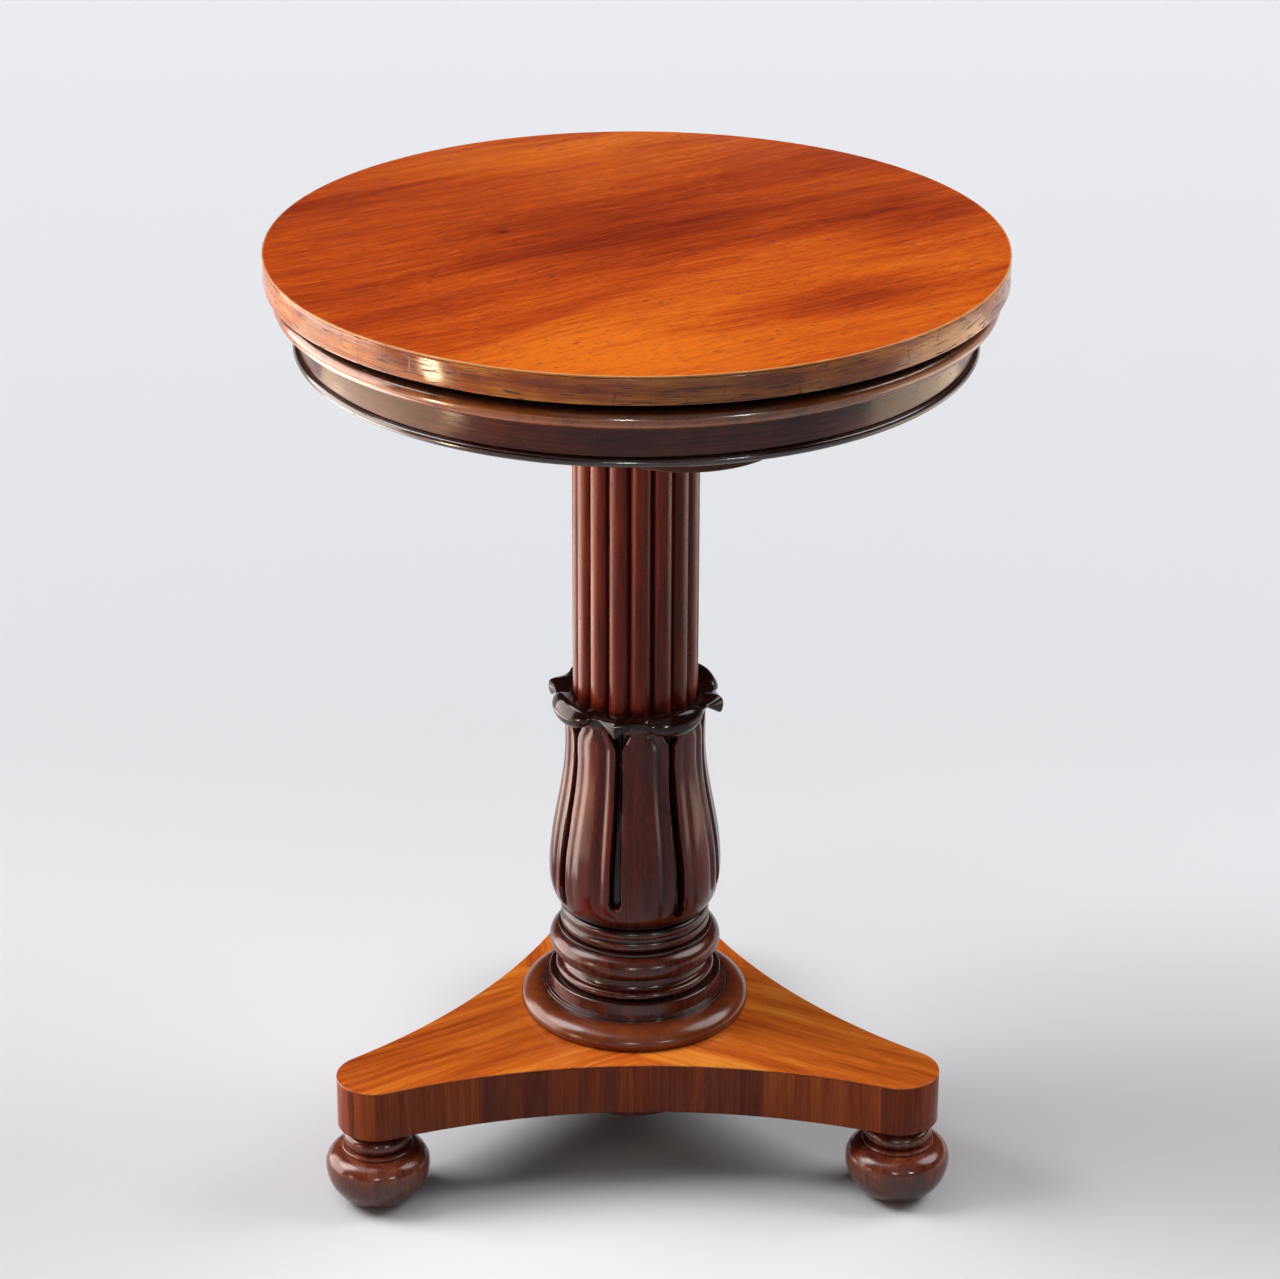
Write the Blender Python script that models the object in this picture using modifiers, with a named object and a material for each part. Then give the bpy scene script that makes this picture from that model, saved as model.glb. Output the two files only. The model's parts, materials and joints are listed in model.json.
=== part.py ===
"""A round two-tier table: the top rises on a post housed in its reeded pillar and leaves a moulded tray behind."""

from math import asin, atan2, cos, pi, radians, sin

import bmesh
import bpy
from mathutils import Matrix

# Overall, in metres
TABLE_HEIGHT = 0.717
FIT = 0.0003  # gap between pieces that seat on each other
CUT_PAST = 0.010  # how far a cutter runs past the face that it opens
LIFT_TRAVEL = 0.300

# Top
TOP_DIAMETER = 0.530
TOP_THICKNESS = 0.0207
TOP_VENEER = 0.0015
EDGE_BAND = 0.004
TOP_GAP = 0.0063  # between the top and the tray's lip

# Tray: setbacks are measured in from the edge of the top
ROLL_SETBACK = 0.0055
FRIEZE_SETBACK = 0.023
BEAD_SETBACK = 0.0192
ROLL_HEIGHT = 0.015
ROLL_NOSE = 0.009
FRIEZE_HEIGHT = 0.024
FRIEZE_WALL = 0.016
COVE = 0.005
BEAD_HEIGHT = 0.007
TRAY_DEPTH = 0.027
TRAY_BOARD = 0.014

# Bearer under the tray
BEARER_END_GAP = 0.011  # from the bearer's ends to the inside of the tray's mouldings
BEARER_WIDTH = 0.100
BEARER_THICKNESS = 0.0217
BEARER_END_RADIUS = 0.070
BEARER_AZIMUTH = radians(-78)
BEARER_SCREW_INSET = 0.065  # from the bearer's ends
BEARER_SCREW_GAUGE = 0.030

# Rising post and its guides
POST_RADIUS = 0.020
BORE_CLEARANCE = 0.0013
BUSH_WALL = 0.0057
BUSH_LENGTH = 0.106
FLANGE_WIDTH = 0.012
FLANGE_THICKNESS = 0.003
SPIGOT_WALL = 0.0087
SPIGOT_LENGTH = 0.050
WELL_FLOOR = 0.011  # wood left under the post's well, above the platform
BUFFER_THICKNESS = 0.0094
FERRULE_HEIGHT = 0.016
FERRULE_WALL = 0.0017
FERRULE_STANDOFF = 0.0007  # the ferrule guides the foot of the post in the bore

# Pivot between post and top
BLOCK_RADIUS = 0.062
BLOCK_THICKNESS = 0.018
BLOCK_ROUND = 0.005
BLOCK_SCREW_CIRCLE = 0.045
WASHER_THICKNESS = 0.0015
BOLT_RADIUS = 0.008
BOLT_DEPTH = 0.038
BOLT_HEAD_RADIUS = 0.014
BOLT_HEAD_HEIGHT = 0.006

# Lock pin at the back and guide screw at the side
LOCK_DROP = 0.0237  # below the bearer
LOCK_AZIMUTH = radians(90)
GUIDE_AZIMUTH = radians(0)
PIN_RADIUS = 0.004
PIN_TRAVEL = 0.009
PIN_BITE = 0.010  # depth of the pin's holes in the post
PIN_PLAY = 0.0006
PIN_TAIL = 0.011  # length of the pin inside the knob
KNOB_RADIUS = 0.011
KNOB_LENGTH = 0.0175
KNOB_BALL = 0.0063  # half height of its rounded head
KNOB_NECK_RADIUS = 0.0068
SOCKET_WALL = 0.0017
SOCKET_FLANGE = 0.010
SOCKET_FLANGE_THICKNESS = 0.0017
SOCKET_SEAT = 0.001
GUIDE_RADIUS = 0.003
GUIDE_HEAD = 0.0046
GUIDE_BITE = 0.0037
GROOVE_DEPTH = 0.0043

# Wood screws
SCREW_HEAD_RADIUS = 0.0042
SCREW_HEAD_HEIGHT = 0.0028
SCREW_RADIUS = 0.002
BLOCK_SCREW_LENGTH = 0.027
BEARER_SCREW_LENGTH = 0.031
BUSH_SCREW_LENGTH = 0.012

# Capital and reeded shaft
CAPITAL_HEIGHT = 0.045
CAPITAL_RADIUS = 0.056
ABACUS_HEIGHT = 0.008
ABACUS_OVERHANG = 0.006
ASTRAGAL_HEIGHT = 0.007
ASTRAGAL_SETBACK = 0.003
REED_COUNT = 16
SHAFT_RADIUS = 0.0468
REED_DEPTH = 0.0075
REED_AZIMUTH = radians(-97.5)  # one gap between two reeds

# Lotus vase
LEAF_PAIRS = 4  # each pair has one slot under a pleat of the lip and one under a lobe
LEAF_AZIMUTH = radians(-105)  # a slot under a pleat
LOTUS_HEIGHT = 0.176
LOTUS_BELLY_RADIUS = 0.0652
LOTUS_BELLY_HEIGHT = 0.034
LOTUS_NECK_RADIUS = 0.0527
LOTUS_FOOT_RADIUS = 0.0545
LOTUS_SEAT_DEPTH = 0.009
LOTUS_SEAT_PLAY = 0.0006
SLOT_DEPTH = 0.0068
SLOT_FOOT = 0.021  # height at which the slots end
SLOT_RUNOUT = 0.005  # height over which a slot comes up to the surface
NECK_DROP = 0.038  # from the lip to where the neck is slimmest
LIP_RADIUS = 0.0595
LIP_EDGE = 0.0025  # thickness of the lip where it is thinnest
LIP_FOOT = 0.010  # from the lip to where it springs from the neck
LIP_FLARE = 0.002
LIP_ROLL = 0.004
LIP_HOLLOW = 0.005  # how far the carver undercut the turned-over edge
LIP_NOSE = 0.6  # share of the droop at which the lip reaches furthest
LIP_UNDERCUT = 0.85  # share of the droop at the top of the undercut
LOBE_REACH = 0.006
LOBE_DROOP = 0.011
LOBE_RISE = 0.003
LOBE_SPREAD = 0.67  # half width of a lobe, as a share of a leaf's width
PLEAT_REACH = 0.005
PLEAT_DROOP = 0.0065
PLEAT_SPREAD = 0.3

# Turned base of the pillar, from its lowest ring up
PLINTH_RING_RADIUS = 0.0872
PLINTH_RING_HEIGHT = 0.0173
PLINTH_NOSE = 0.0095  # height of its widest part
STEP_FILLET = 0.0042
STEP_FILLET_HEIGHT = 0.0014
STEP_RADIUS = 0.0655
STEP_HEIGHT = 0.0115
LOW_RING_RADIUS = 0.0588
LOW_RING_HEIGHT = 0.0135
TORUS_RADIUS = 0.065
TORUS_HEIGHT = 0.0235
NECK_FILLET_RADIUS = 0.0583
NECK_FILLET_HEIGHT = 0.0022
NECK_RING_RADIUS = 0.0568
NECK_RING_HEIGHT = 0.0178
NECK_RING_SWELL = 0.004
BASE_SPIGOT_LENGTH = 0.0167
TENON_RADIUS = 0.030

# Platform, feet and the nut under the platform
PLATFORM_THICKNESS = 0.041
PLATFORM_WAIST = 0.1044
PLATFORM_END_RADIUS = 0.0294
PLATFORM_TOP_VENEER = 0.0015
PLATFORM_EDGE_VENEER = 0.0015
FOOT_CIRCLE = 0.2259
FOOT_AZIMUTHS = {"front_left": radians(210), "front_right": radians(-30), "back": radians(90)}
FOOT_HEIGHT = 0.0645
FOOT_RADIUS = 0.039
FOOT_BELLY_HEIGHT = 0.031
FOOT_PAD_RADIUS = 0.011
FOOT_RING_RADIUS = 0.0268
FOOT_RING_HEIGHT = 0.0472
FOOT_RING_THICKNESS = 0.0028
FOOT_ROLL_RADIUS = 0.0255
FOOT_ROLL_HEIGHT = 0.013
FOOT_NECK_RADIUS = 0.020
FOOT_SPIGOT_RADIUS = 0.012
FOOT_SPIGOT_LENGTH = 0.024
NUT_RADIUS = 0.053
NUT_HEIGHT = 0.0345
NUT_FLOOR = 0.0065
NUT_ROUND = 0.018

# Facets of each round piece; pieces that fit inside each other share a count
WIDE_STEPS = 44
PILLAR_STEPS = 24
POST_STEPS = 20
FOOT_STEPS = 16
SMALL_STEPS = 12
SCREW_STEPS = 6
REED_FACETS = 5
LOTUS_ROWS = 6
PLATFORM_END_FACETS = 6
PLATFORM_SIDE_FACETS = 8
BEARER_END_FACETS = 6

# Levels, from the floor up
platform_bottom = FOOT_HEIGHT + FIT
platform_top = platform_bottom + PLATFORM_THICKNESS
base_bottom = platform_top + FIT
step_bottom = base_bottom + PLINTH_RING_HEIGHT
low_ring_bottom = step_bottom + STEP_HEIGHT
torus_bottom = low_ring_bottom + LOW_RING_HEIGHT
neck_fillet_bottom = torus_bottom + TORUS_HEIGHT
neck_ring_bottom = neck_fillet_bottom + NECK_FILLET_HEIGHT
base_top = neck_ring_bottom + NECK_RING_HEIGHT
lotus_bottom = base_top + FIT
lotus_lip = lotus_bottom + LOTUS_HEIGHT
lotus_seat = lotus_lip - LOTUS_SEAT_DEPTH
reed_bottom = lotus_seat + FIT
top_underside = TABLE_HEIGHT - TOP_THICKNESS
tray_lip = top_underside - TOP_GAP
frieze_top = tray_lip - ROLL_HEIGHT
frieze_bottom = frieze_top - FRIEZE_HEIGHT
tray_floor = tray_lip - TRAY_DEPTH
board_bottom = tray_floor - TRAY_BOARD
bearer_top = board_bottom - FIT
bearer_bottom = bearer_top - BEARER_THICKNESS
capital_top = bearer_bottom - FIT
capital_bottom = capital_top - CAPITAL_HEIGHT
reed_top = capital_bottom - FIT
lock_level = bearer_bottom - LOCK_DROP
bush_bottom = tray_floor - BUSH_LENGTH
block_top = top_underside - FIT
block_bottom = block_top - BLOCK_THICKNESS
washer_top = block_bottom - FIT
post_top = washer_top - WASHER_THICKNESS - FIT
well_floor = base_bottom + WELL_FLOOR
buffer_top = well_floor + FIT + BUFFER_THICKNESS
ferrule_bottom = buffer_top + FIT

# Radii that follow from the post and the top
top_radius = TOP_DIAMETER / 2
roll_radius = top_radius - ROLL_SETBACK
frieze_radius = top_radius - FRIEZE_SETBACK
bead_radius = top_radius - BEAD_SETBACK
tray_radius = frieze_radius - FRIEZE_WALL
bearer_reach = tray_radius - BEARER_END_GAP
bore_radius = POST_RADIUS + BORE_CLEARANCE
bush_bore = POST_RADIUS + FIT
bush_radius = bush_bore + BUSH_WALL
bush_hole = bush_radius + FIT
flange_radius = bush_radius + FLANGE_WIDTH
lower_spigot = bore_radius + SPIGOT_WALL
upper_spigot = bush_hole + SPIGOT_WALL
lotus_mouth = SHAFT_RADIUS + LOTUS_SEAT_PLAY
pin_hole = PIN_RADIUS + PIN_PLAY
tube_bore = PIN_RADIUS + FIT
tube_radius = tube_bore + SOCKET_WALL
socket_seat = CAPITAL_RADIUS - SOCKET_SEAT

FINISHES = {  # linear colour, roughness, metallic
    "polished_mahogany": ((0.42, 0.105, 0.018), 0.22, 0.0),
    "dark_mahogany": ((0.075, 0.019, 0.011), 0.26, 0.0),
    "red_mahogany": ((0.155, 0.034, 0.017), 0.3, 0.0),
    "bare_mahogany": ((0.30, 0.11, 0.045), 0.6, 0.0),
    "brass": ((0.62, 0.42, 0.16), 0.32, 1.0),
    "steel": ((0.32, 0.31, 0.30), 0.45, 1.0),
    "leather": ((0.20, 0.09, 0.04), 0.8, 0.0),
}


def clear_scene():
    for obj in list(bpy.data.objects):
        bpy.data.objects.remove(obj, do_unlink=True)


def new_collection(name):
    collection = bpy.data.collections.new(name)
    bpy.context.scene.collection.children.link(collection)
    return collection


def add_finish(obj, finish):
    colour, roughness, metallic = FINISHES[finish]
    material = bpy.data.materials.new(f"{obj.name}_{finish}")
    material.use_nodes = True
    shader = material.node_tree.nodes["Principled BSDF"]
    shader.inputs["Base Color"].default_value = (*colour, 1.0)
    shader.inputs["Roughness"].default_value = roughness
    shader.inputs["Metallic"].default_value = metallic
    obj.data.materials.append(material)


def add_object(name, data, finish, parent=None):
    """Adds a part with its finish, or a cutter where finish is None."""
    obj = bpy.data.objects.new(name, data)
    obj.parent = parent
    if finish is None:
        cutters.objects.link(obj)
        obj.hide_render = True
        obj.display_type = "WIRE"
    else:
        table.objects.link(obj)
        add_finish(obj, finish)
    return obj


def arc(centre, radii, start, end, count):
    """Points on an ellipse's arc, by angle in degrees from the outward direction."""
    turn = [radians(start + (end - start) * i / count) for i in range(count + 1)]
    return [(centre[0] + radii[0] * cos(a), centre[1] + radii[1] * sin(a)) for a in turn]


def half_round(radius, low, height, count):
    """The outer side of a turned ring, from its top to its bottom."""
    return arc((radius - height / 2, low + height / 2), (height / 2, height / 2), 80, -80, count)


def turned(name, profile, steps, finish, parent=None, ring=False):
    """A turned piece. The profile's (radius, height) points run down its outer side, and a ring's close on the bore."""
    mesh = bpy.data.meshes.new(name)
    edges = [(i, i + 1) for i in range(len(profile) - 1)]
    if ring:
        edges.append((len(profile) - 1, 0))
    mesh.from_pydata([(r, 0, z) for r, z in profile], edges, [])
    obj = add_object(name, mesh, finish, parent)
    screw = obj.modifiers.new("turn", "SCREW")
    screw.steps = steps
    screw.render_steps = steps
    screw.use_merge_vertices = True
    screw.merge_threshold = 0.00001
    return obj


def ring_piece(name, outer, bore, steps, finish, parent=None):
    """A turned piece with a straight bore through it."""
    inner = [(bore, outer[-1][1]), (bore, outer[0][1])]
    return turned(name, outer + inner, steps, finish, parent, ring=True)


def cylinder_cutter(name, radius, low, high, steps, parent=None):
    return turned(name, [(0, high), (radius, high), (radius, low), (0, low)], steps, None, parent)


def evaluated_mesh(obj):
    bpy.context.view_layer.update()
    graph = bpy.context.evaluated_depsgraph_get()
    return bpy.data.meshes.new_from_object(obj.evaluated_get(graph))


def prism(name, loops, low, high, finish):
    """A flat outline, with any further loops as holes through it, between two levels."""
    curve = bpy.data.curves.new(name, "CURVE")
    curve.dimensions = "2D"
    curve.fill_mode = "BOTH"
    curve.extrude = (high - low) / 2
    for loop in loops:
        spline = curve.splines.new("POLY")
        spline.points.add(len(loop) - 1)
        spline.use_cyclic_u = True
        for point, (x, y) in zip(spline.points, loop):
            point.co = (x, y, 0, 1)
    outline = add_object(f"{name}_outline", curve, None)
    mesh = evaluated_mesh(outline)
    bpy.data.objects.remove(outline, do_unlink=True)
    body = bmesh.new()
    body.from_mesh(mesh)
    bmesh.ops.remove_doubles(body, verts=body.verts, dist=0.000005)
    body.to_mesh(mesh)
    body.free()
    obj = add_object(name, mesh, finish)
    obj.location.z = (low + high) / 2
    return obj


def circle(radius, steps):
    return [(radius * cos(2 * pi * i / steps), radius * sin(2 * pi * i / steps)) for i in range(steps)]


def boolean(target, other, operation="DIFFERENCE"):
    modifier = target.modifiers.new(other.name, "BOOLEAN")
    modifier.operation = operation
    modifier.object = other


def spread(name, piece, places):
    """A cutter that holds a copy of a piece at each place. The piece itself is removed."""
    pattern = evaluated_mesh(piece)
    bpy.data.objects.remove(piece, do_unlink=True)
    group = bmesh.new()
    for place in places:
        copy = pattern.copy()
        copy.transform(place)
        group.from_mesh(copy)
        bpy.data.meshes.remove(copy)
    mesh = bpy.data.meshes.new(name)
    group.to_mesh(mesh)
    group.free()
    return add_object(name, mesh, None)


def wood_screws(name, length, places, parent=None):
    """Adds countersunk screws that point up from their places, and returns a cutter for their holes."""
    shape = [
        (0, length),
        (SCREW_RADIUS, length),
        (SCREW_RADIUS, SCREW_HEAD_HEIGHT),
        (SCREW_HEAD_RADIUS, 0),
        (0, 0),
    ]
    hole = [
        (0, length + FIT),
        (SCREW_RADIUS + FIT, length + FIT),
        (SCREW_RADIUS + FIT, SCREW_HEAD_HEIGHT + FIT),
        (SCREW_HEAD_RADIUS + FIT, 0),
        (SCREW_HEAD_RADIUS + FIT, -SCREW_HEAD_HEIGHT),
        (0, -SCREW_HEAD_HEIGHT),
    ]
    for number, place in enumerate(places, 1):
        screw = turned(f"{name}_{number}", shape, SCREW_STEPS, "steel", parent)
        screw.matrix_local = place
    return spread(f"{name}_holes", turned(f"{name}_hole", hole, SCREW_STEPS, None), places)


def around(count, radius, height, start=0.0):
    """Places spaced evenly on a circle about the pillar's axis."""
    return [
        Matrix.Translation((radius * cos(a), radius * sin(a), height))
        for a in (start + 2 * pi * i / count for i in range(count))
    ]


def axis_empty(name, azimuth=None, height=0.0, parent=None):
    """An empty on a joint's axis: the pillar's axis, or a line that leaves it level at an azimuth."""
    empty = bpy.data.objects.new(name, None)
    table.objects.link(empty)
    empty.parent = parent
    empty.location.z = height
    if azimuth is not None:
        empty.rotation_euler = (-pi / 2, 0, azimuth - pi / 2)
    return empty


def platform_outline(inset):
    """Three hollow sides that run smoothly into three round ends, one over each foot."""
    end_less_waist = PLATFORM_END_RADIUS - PLATFORM_WAIST
    side_centre = (FOOT_CIRCLE**2 - end_less_waist**2) / (FOOT_CIRCLE + 2 * end_less_waist)
    side_radius = side_centre - PLATFORM_WAIST
    # Seen from a round end, the side's centre lies this far round from the way out of the pillar.
    aside = atan2(side_centre * sin(pi / 3), side_centre * cos(pi / 3) - FOOT_CIRCLE)
    sweep = asin(FOOT_CIRCLE * sin(pi / 3) / (side_radius + PLATFORM_END_RADIUS))
    points = []
    for corner in sorted(FOOT_AZIMUTHS.values()):
        for i in range(PLATFORM_END_FACETS + 1):
            angle = corner + aside * (2 * i / PLATFORM_END_FACETS - 1)
            reach = PLATFORM_END_RADIUS - inset
            points.append(
                (
                    FOOT_CIRCLE * cos(corner) + reach * cos(angle),
                    FOOT_CIRCLE * sin(corner) + reach * sin(angle),
                )
            )
        side = corner + pi / 3
        for i in range(1, PLATFORM_SIDE_FACETS):
            angle = side + pi + sweep * (1 - 2 * i / PLATFORM_SIDE_FACETS)
            reach = side_radius + inset
            points.append(
                (
                    side_centre * cos(side) + reach * cos(angle),
                    side_centre * sin(side) + reach * sin(angle),
                )
            )
    return points


def build_platform():
    edge_top = platform_top - PLATFORM_TOP_VENEER - FIT
    core_outline = platform_outline(PLATFORM_EDGE_VENEER + FIT)
    tenon_hole = circle(TENON_RADIUS + FIT, PILLAR_STEPS)
    core = prism("platform_core", [core_outline, tenon_hole], platform_bottom, edge_top, "bare_mahogany")
    edge_loops = [platform_outline(0), platform_outline(PLATFORM_EDGE_VENEER)]
    prism("platform_edge_veneer", edge_loops, platform_bottom, edge_top, "polished_mahogany")
    veneer_low = edge_top + FIT
    prism("platform_top_veneer", [platform_outline(0), tenon_hole], veneer_low, platform_top, "polished_mahogany")
    belly = FOOT_BELLY_HEIGHT
    ring = FOOT_RING_RADIUS
    ring_bottom = FOOT_RING_HEIGHT - FOOT_RING_THICKNESS
    bun = (
        [(0, FOOT_HEIGHT + FOOT_SPIGOT_LENGTH)]
        + [(FOOT_SPIGOT_RADIUS, FOOT_HEIGHT + FOOT_SPIGOT_LENGTH), (FOOT_SPIGOT_RADIUS, FOOT_HEIGHT)]
        + [(FOOT_NECK_RADIUS, FOOT_HEIGHT)]
        + half_round(FOOT_ROLL_RADIUS, FOOT_RING_HEIGHT, FOOT_ROLL_HEIGHT, 2)
        + [(ring, FOOT_RING_HEIGHT)]
        + arc((ring, belly), (FOOT_RADIUS - ring, ring_bottom - belly), 90, 0, 3)
        + arc((FOOT_PAD_RADIUS, belly), (FOOT_RADIUS - FOOT_PAD_RADIUS, belly), 0, -90, 4)[1:]
        + [(0, 0)]
    )
    socket_top = FOOT_HEIGHT + FOOT_SPIGOT_LENGTH + FIT
    for place, azimuth in FOOT_AZIMUTHS.items():
        spot = (FOOT_CIRCLE * cos(azimuth), FOOT_CIRCLE * sin(azimuth), 0)
        foot = turned(f"bun_foot_{place}", bun, FOOT_STEPS, "dark_mahogany")
        foot.location = spot
        socket = cylinder_cutter(
            f"foot_socket_{place}", FOOT_SPIGOT_RADIUS + FIT, FOOT_HEIGHT, socket_top, FOOT_STEPS
        )
        socket.location = spot
        boolean(core, socket)
    nut_top = platform_bottom - FIT
    nut_bottom = nut_top - NUT_HEIGHT
    bore = TENON_RADIUS + FIT
    nut = (
        [(0, nut_bottom + NUT_FLOOR), (bore, nut_bottom + NUT_FLOOR), (bore, nut_top), (NUT_RADIUS, nut_top)]
        + arc((NUT_RADIUS - NUT_ROUND, nut_bottom + NUT_ROUND), (NUT_ROUND, NUT_ROUND), 0, -90, 3)
        + [(0, nut_bottom)]
    )
    turned("retaining_nut", nut, PILLAR_STEPS, "dark_mahogany")


def build_base():
    """The turned rings, with a spigot for the vase, the post's well and a tenon through the platform."""
    tenon_end = platform_bottom - NUT_HEIGHT + NUT_FLOOR
    spigot_top = base_top + BASE_SPIGOT_LENGTH
    shoulder = STEP_RADIUS + STEP_FILLET
    plinth_top = step_bottom - STEP_FILLET_HEIGHT
    nose = base_bottom + PLINTH_NOSE
    neck_middle = neck_ring_bottom + NECK_RING_HEIGHT / 2
    neck_swell = (NECK_RING_SWELL, NECK_RING_HEIGHT / 2)
    profile = (
        [(0, well_floor), (bore_radius, well_floor), (bore_radius, spigot_top), (lower_spigot, spigot_top)]
        + [(lower_spigot, base_top)]
        + arc((NECK_RING_RADIUS - NECK_RING_SWELL, neck_middle), neck_swell, 90, -90, 3)
        + [(NECK_FILLET_RADIUS, neck_ring_bottom), (NECK_FILLET_RADIUS, neck_fillet_bottom)]
        + half_round(TORUS_RADIUS, torus_bottom, TORUS_HEIGHT, 5)
        + half_round(LOW_RING_RADIUS, low_ring_bottom, LOW_RING_HEIGHT, 3)
        + [(STEP_RADIUS, low_ring_bottom), (STEP_RADIUS, step_bottom), (shoulder, step_bottom), (shoulder, plinth_top)]
        + arc((shoulder, nose), (PLINTH_RING_RADIUS - shoulder, plinth_top - nose), 80, 0, 3)
        + arc((PLINTH_RING_RADIUS - PLINTH_NOSE, nose), (PLINTH_NOSE, PLINTH_NOSE), -30, -90, 2)
        + [(TENON_RADIUS, base_bottom), (TENON_RADIUS, tenon_end), (0, tenon_end)]
    )
    turned("column_base", profile, PILLAR_STEPS, "dark_mahogany")
    buffer_low = well_floor + FIT
    cylinder = [(0, buffer_top), (POST_RADIUS, buffer_top), (POST_RADIUS, buffer_low), (0, buffer_low)]
    turned("post_buffer", cylinder, POST_STEPS, "leather")


def vase_radius(height):
    """The vase's outline: an ellipse below the belly and a long slow curve in to the neck above it."""
    above = height - LOTUS_BELLY_HEIGHT
    if above < 0:
        share = -above / LOTUS_BELLY_HEIGHT
        return LOTUS_FOOT_RADIUS + (LOTUS_BELLY_RADIUS - LOTUS_FOOT_RADIUS) * max(0, 1 - share**2) ** 0.5
    share = min(1, above / (LOTUS_HEIGHT - LOTUS_BELLY_HEIGHT - NECK_DROP))
    return LOTUS_NECK_RADIUS + (LOTUS_BELLY_RADIUS - LOTUS_NECK_RADIUS) * (1 + cos(pi * share)) / 2


LEAF_SECTION = {  # share of a leaf's width from the slot, and how deep the carver cut there
    0.0: 0.72,
    0.06: 1.0,
    0.105: 0.2,
    0.2: 0.16,
    0.24: 0.02,
    0.5: 0.0,
}


def lotus_line(share, cut):
    """The vase's outer side, from the mouth to the foot, at a share of the way from a pleat's slot to a lobe's."""
    pleat = max(0, 1 - share / PLEAT_SPREAD)
    lobe = cos(pi / 2 * min(1, (1 - share) / LOBE_SPREAD))
    reach = LIP_RADIUS + PLEAT_REACH * pleat + LOBE_REACH * lobe
    droop = LIP_EDGE + PLEAT_DROOP * pleat + LOBE_DROOP * lobe
    crest = lotus_lip + LOBE_RISE * lobe
    line = [
        (lotus_mouth - LIP_ROLL, lotus_lip),
        ((lotus_mouth + reach) / 2, crest),
        (reach - LIP_ROLL, crest - LIP_EDGE / 2),
        (reach, lotus_lip - LIP_NOSE * droop),
        (reach - LIP_ROLL / 2, lotus_lip - droop),
        (reach - LIP_HOLLOW, lotus_lip - LIP_UNDERCUT * droop),
        (LOTUS_NECK_RADIUS + LIP_FLARE, lotus_lip - LIP_FOOT),
    ]
    slot_top = LOTUS_HEIGHT - LIP_FOOT - LIP_HOLLOW
    slot_low = SLOT_FOOT + SLOT_RUNOUT
    for i in range(LOTUS_ROWS + 1):
        height = slot_top + (slot_low - slot_top) * i / LOTUS_ROWS
        line.append((vase_radius(height) - SLOT_DEPTH * cut, lotus_bottom + height))
    for height in (SLOT_FOOT, SLOT_FOOT / 2, SLOT_FOOT / 5, 0):
        line.append((vase_radius(height), lotus_bottom + height))
    return line


def build_lotus():
    """A carved vase of broad leaves: one section is lofted round, under a lip of rolled lobes and pointed pleats."""
    rising = list(LEAF_SECTION.items())
    falling = [(1 - share, cut) for share, cut in reversed(rising[1:-1])]
    columns = []
    for leaf in range(2 * LEAF_PAIRS):
        for share, cut in rising + falling:
            angle = LEAF_AZIMUTH + pi * (leaf + share) / LEAF_PAIRS
            line = lotus_line(share if leaf % 2 == 0 else 1 - share, cut)
            columns.append([(r * cos(angle), r * sin(angle), z) for r, z in line])
    body = bmesh.new()
    grid = [[body.verts.new(point) for point in column] for column in columns]
    for left, right in zip(grid, grid[1:] + grid[:1]):
        for i in range(len(left) - 1):
            body.faces.new((left[i], left[i + 1], right[i + 1], right[i]))
    body.faces.new([column[0] for column in grid])
    body.faces.new([column[-1] for column in reversed(grid)])
    mesh = bpy.data.meshes.new("lotus_vase")
    body.to_mesh(mesh)
    body.free()
    mesh.shade_smooth()
    mesh.set_sharp_from_angle(angle=radians(40))
    vase = add_object("lotus_vase", mesh, "red_mahogany")
    socket = lower_spigot + FIT
    foot_socket = lotus_bottom + BASE_SPIGOT_LENGTH
    head_socket = lotus_seat - SPIGOT_LENGTH
    profile = [
        (0, lotus_lip + CUT_PAST),
        (lotus_mouth, lotus_lip + CUT_PAST),
        (lotus_mouth, lotus_seat),
        (socket, lotus_seat),
        (socket, head_socket),
        (bore_radius, head_socket),
        (bore_radius, foot_socket),
        (socket, foot_socket),
        (socket, lotus_bottom - CUT_PAST),
        (0, lotus_bottom - CUT_PAST),
    ]
    boolean(vase, turned("lotus_bore", profile, PILLAR_STEPS, None))


def reed_outline():
    """Half-round reeds side by side, with narrow gaps between them."""
    half_pitch = pi / REED_COUNT
    valley = SHAFT_RADIUS - REED_DEPTH
    half_width = valley * sin(half_pitch)
    rise = SHAFT_RADIUS - valley * cos(half_pitch)
    bend = (half_width**2 + rise**2) / (2 * rise)
    sweep = atan2(half_width, bend - rise)
    points = []
    for reed in range(REED_COUNT):
        middle = REED_AZIMUTH + half_pitch * (2 * reed + 1)
        for i in range(REED_FACETS):
            lean = sweep * (2 * i / REED_FACETS - 1)
            out = SHAFT_RADIUS - bend + bend * cos(lean)
            across = bend * sin(lean)
            points.append(
                (out * cos(middle) - across * sin(middle), out * sin(middle) + across * cos(middle))
            )
    return points


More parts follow.
